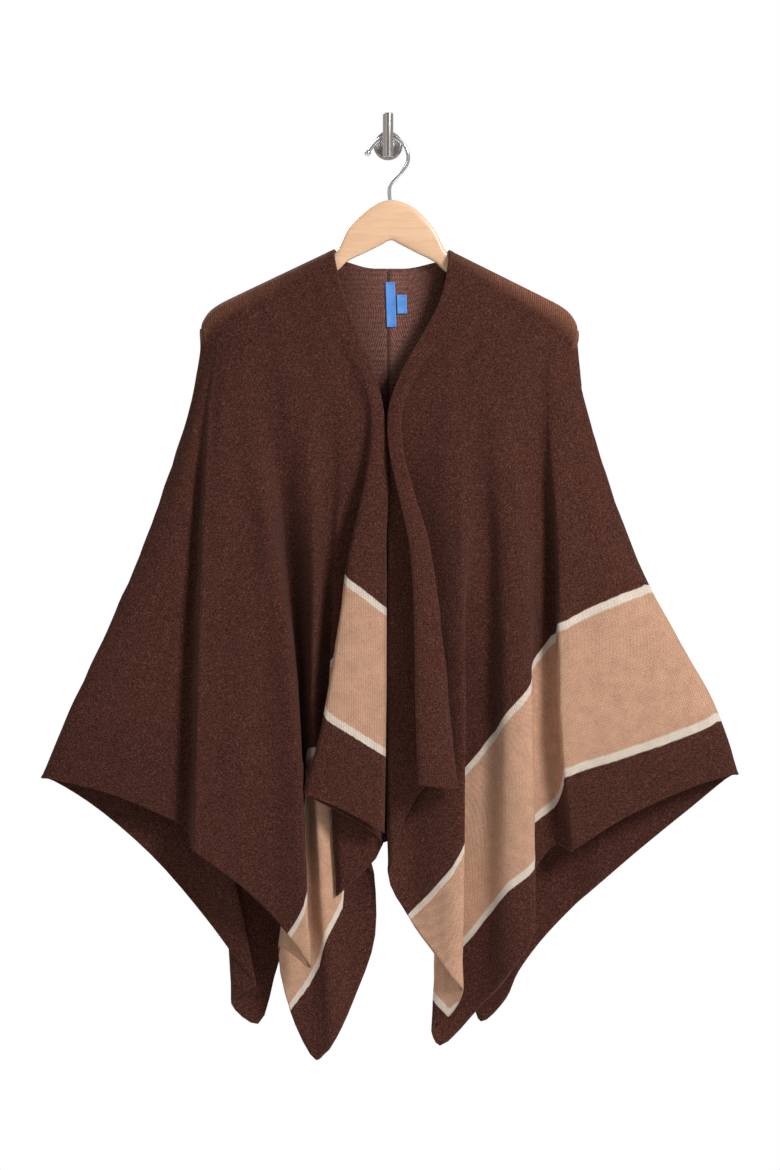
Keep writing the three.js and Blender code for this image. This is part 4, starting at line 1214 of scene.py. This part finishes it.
class HangerSettings(bpy.types.PropertyGroup):
    thickness: FloatProperty(
        name="Thickness", description="Thickness of the wood, in millimetres", default=11
    )
    sections: IntProperty(name="Sections", description="Fine sections between two stations", default=6, min=2)
    sides: IntProperty(name="Sides", description="Points round a section", default=40, min=12)
    wood_light: FloatVectorProperty(
        name="Light Wood", description="Light part of the grain",
        subtype="COLOR", size=3, default=(0.9, 0.6, 0.39),
    )
    wood_dark: FloatVectorProperty(
        name="Dark Wood", description="Dark part of the grain",
        subtype="COLOR", size=3, default=(0.8, 0.49, 0.29),
    )


class MetalSettings(bpy.types.PropertyGroup):
    wire: FloatProperty(
        name="Wire Radius", description="Radius of the hook's wire, in millimetres", default=2.1
    )
    plate_radius: FloatProperty(name="Plate Radius", description="Radius of the wall plate", default=16)
    post_radius: FloatProperty(name="Post Radius", description="Radius of the post", default=5)
    bar_radius: FloatProperty(name="Bar Radius", description="Radius of the upright bar", default=5.8)
    bar_depth: FloatProperty(
        name="Bar Depth", description="Distance of the bar's middle from the wall", default=40
    )
    chrome: FloatVectorProperty(
        name="Chrome", description="Colour of the wire", subtype="COLOR", size=3, default=(0.93, 0.93, 0.94)
    )
    nickel: FloatVectorProperty(
        name="Nickel", description="Colour of the peg", subtype="COLOR", size=3, default=(0.72, 0.66, 0.63)
    )


class StageSettings(bpy.types.PropertyGroup):
    camera_distance: FloatProperty(
        name="Camera Distance", description="From the wall", default=5, unit="LENGTH"
    )
    camera_height: FloatProperty(
        name="Camera Height", description="Above the peg", default=-0.4873, unit="LENGTH"
    )
    camera_across: FloatProperty(
        name="Camera Across", description="To the right", default=0.0022, unit="LENGTH"
    )
    lens: FloatProperty(name="Lens", description="Focal length for a 36 mm sensor", default=138.6)
    floor_height: FloatProperty(
        name="Floor Height", description="Below the peg", default=-1.45, unit="LENGTH"
    )
    floor_colour: FloatVectorProperty(
        name="Floor", description="Colour of the floor", subtype="COLOR", size=3, default=(0.86, 0.86, 0.86)
    )
    key: FloatProperty(
        name="Key Light", description="Power of the main soft light", default=155, unit="POWER"
    )
    fill: FloatProperty(name="Fill Light", description="Strength of the even light all round", default=0.38)


class KNITWEAR_OT_panels(bpy.types.Operator):
    """Make the two knitted panels with their folds, bands and finished edges"""

    bl_idname = "knitwear.panels"
    bl_label = "Make Knitted Panels"

    def execute(self, context):
        knit = context.scene.knit_settings
        creases = (FRONT_CREASES, BACK_CREASES)
        left = knit_material("left_knit", knit, 1.0)
        right = knit_material("right_knit", knit, RIGHT_TONE)
        make_panel(
            "left_panel_knit", "left", LEFT_FRONT, LEFT_BACK, creases, knit, left,
            "left_panel", LEFT_SEED,
        )
        make_panel(
            "right_panel_knit", "right", RIGHT_FRONT, RIGHT_BACK, creases, knit, right,
            "right_panel", RIGHT_SEED,
        )
        return {"FINISHED"}


class KNITWEAR_OT_seam(bpy.types.Operator):
    """Make the centre back seam with its ridge and stitches"""

    bl_idname = "knitwear.seam"
    bl_label = "Make Centre Back Seam"

    def execute(self, context):
        seam = context.scene.seam_settings
        make_seam(seam, thread_material("seam_thread", tuple(seam.thread)))
        return {"FINISHED"}


class KNITWEAR_OT_labels(bpy.types.Operator):
    """Make the two blank woven labels at the back neck with their stitches"""

    bl_idname = "knitwear.labels"
    bl_label = "Make Labels"

    def execute(self, context):
        labels = context.scene.label_settings
        ribbon = ribbon_material("label_ribbon", labels)
        thread = thread_material("label_thread", tuple(labels.ribbon))
        for name in LABELS:
            make_label(name, labels, ribbon, thread)
        return {"FINISHED"}


class KNITWEAR_OT_hanger(bpy.types.Operator):
    """Make the wooden hanger"""

    bl_idname = "knitwear.hanger"
    bl_label = "Make Hanger"

    def execute(self, context):
        hanger = context.scene.hanger_settings
        make_hanger(hanger, wood_material("varnished_beech", hanger))
        return {"FINISHED"}


class KNITWEAR_OT_metalwork(bpy.types.Operator):
    """Make the hook of bent wire and the wall peg"""

    bl_idname = "knitwear.metalwork"
    bl_label = "Make Hook and Peg"

    def execute(self, context):
        metal = context.scene.metal_settings
        make_hook(metal, metal_material("polished_chrome", tuple(metal.chrome), *CHROME_LOOK))
        # The plate's nickel is darkened as painted shade
        darker = tuple(c * PLATE_SHADE for c in metal.nickel)
        turned = metal_material("shaded_satin_nickel_plate", darker, *PLATE_LOOK)
        drawn = metal_material("satin_nickel_bar", tuple(metal.nickel), *BAR_LOOK)
        make_peg(metal, turned, drawn)
        return {"FINISHED"}


class KNITWEAR_OT_stage(bpy.types.Operator):
    """Make the floor, the soft lights and the camera"""

    bl_idname = "knitwear.stage"
    bl_label = "Make Stage"

    def execute(self, context):
        stage = context.scene.stage_settings
        bm = bmesh.new()
        bmesh.ops.create_grid(bm, x_segments=1, y_segments=1, size=FLOOR_HALF)
        bmesh.ops.translate(bm, verts=bm.verts, vec=(0, 0, stage.floor_height))
        floor = mesh_object("floor", bm, floor_material("pale_floor", tuple(stage.floor_colour)))

        world = bpy.data.worlds.new("studio")
        context.scene.world = world
        world.use_nodes = True
        tree = world.node_tree
        surround = tree.nodes["Background"]
        way = node(tree, "ShaderNodeTexCoord").outputs["Generated"]
        across = node(tree, "ShaderNodeSeparateXYZ", {"Vector": way}).outputs["X"]
        place = maths(tree, "ADD", maths(tree, "MULTIPLY", across, 0.5), 0.5)
        stops = [(at, (value,) * 3) for at, value in SURROUND]
        tree.links.new(ramp(tree, place, stops), surround.inputs["Color"])
        surround.inputs["Strength"].default_value = stage.fill
        seen = node(tree, "ShaderNodeBackground", Color=(1, 1, 1, 1), Strength=1.0)
        path = node(tree, "ShaderNodeLightPath")
        both = node(tree, "ShaderNodeMixShader")
        tree.links.new(path.outputs["Is Camera Ray"], both.inputs["Fac"])
        tree.links.new(surround.outputs["Background"], both.inputs[1])
        tree.links.new(seen.outputs["Background"], both.inputs[2])
        tree.links.new(both.outputs["Shader"], tree.nodes["World Output"].inputs["Surface"])

        add_light("key_light", KEY_PLACE, LIGHT_TARGET, KEY_SIZE, stage.key)
        add_light("back_light", BACK_PLACE, LIGHT_TARGET, BACK_SIZE, stage.key * BACK_SHARE)

        camera = bpy.data.cameras.new("camera")
        camera.sensor_width = SENSOR
        camera.lens = stage.lens
        camera.clip_end = FAR_LIMIT
        view = bpy.data.objects.new("camera", camera)
        view.location = (stage.camera_across, -stage.camera_distance, stage.camera_height)
        view.rotation_euler = (math.pi / 2, 0, 0)
        context.scene.collection.objects.link(view)
        context.scene.camera = view
        context.scene.view_settings.view_transform = "Standard"
        return {"FINISHED"}


def add_light(name, location, target, size, power):
    lamp = bpy.data.lights.new(name, "AREA")
    lamp.shape = "DISK"
    lamp.size = size
    lamp.energy = power
    light = bpy.data.objects.new(name, lamp)
    light.location = location
    light.rotation_euler = (Vector(target) - Vector(location)).to_track_quat("-Z", "Y").to_euler()
    bpy.context.scene.collection.objects.link(light)


class KNITWEAR_PT_panel(bpy.types.Panel):
    """Sizes and colours of the poncho, with a button for each group of pieces"""

    bl_label = "Knitted Poncho"
    bl_idname = "KNITWEAR_PT_panel"
    bl_space_type = "VIEW_3D"
    bl_region_type = "UI"
    bl_category = "Knitwear"

    def draw(self, context):
        for group, operator in GROUPS:
            box = self.layout.box()
            settings = getattr(context.scene, group)
            for name in settings.__annotations__:
                box.prop(settings, name)
            box.operator(operator)


GROUPS = (
    ("stage_settings", "knitwear.stage"),
    ("knit_settings", "knitwear.panels"),
    ("seam_settings", "knitwear.seam"),
    ("label_settings", "knitwear.labels"),
    ("hanger_settings", "knitwear.hanger"),
    ("metal_settings", "knitwear.metalwork"),
)
SETTINGS = {
    "stage_settings": StageSettings,
    "knit_settings": KnitSettings,
    "seam_settings": SeamSettings,
    "label_settings": LabelSettings,
    "hanger_settings": HangerSettings,
    "metal_settings": MetalSettings,
}
OPERATORS = (
    KNITWEAR_OT_stage, KNITWEAR_OT_panels, KNITWEAR_OT_seam,
    KNITWEAR_OT_labels, KNITWEAR_OT_hanger, KNITWEAR_OT_metalwork,
)


def register():
    for name, group in SETTINGS.items():
        bpy.utils.register_class(group)
        setattr(bpy.types.Scene, name, PointerProperty(type=group))
    for operator in OPERATORS:
        bpy.utils.register_class(operator)
    bpy.utils.register_class(KNITWEAR_PT_panel)


def unregister():
    bpy.utils.unregister_class(KNITWEAR_PT_panel)
    for operator in reversed(OPERATORS):
        bpy.utils.unregister_class(operator)
    for name, group in SETTINGS.items():
        delattr(bpy.types.Scene, name)
        bpy.utils.unregister_class(group)


def main():
    register()
    bpy.ops.knitwear.stage()
    bpy.ops.knitwear.panels()
    bpy.ops.knitwear.seam()
    bpy.ops.knitwear.labels()
    bpy.ops.knitwear.hanger()
    bpy.ops.knitwear.metalwork()


if __name__ == "__main__":
    main()
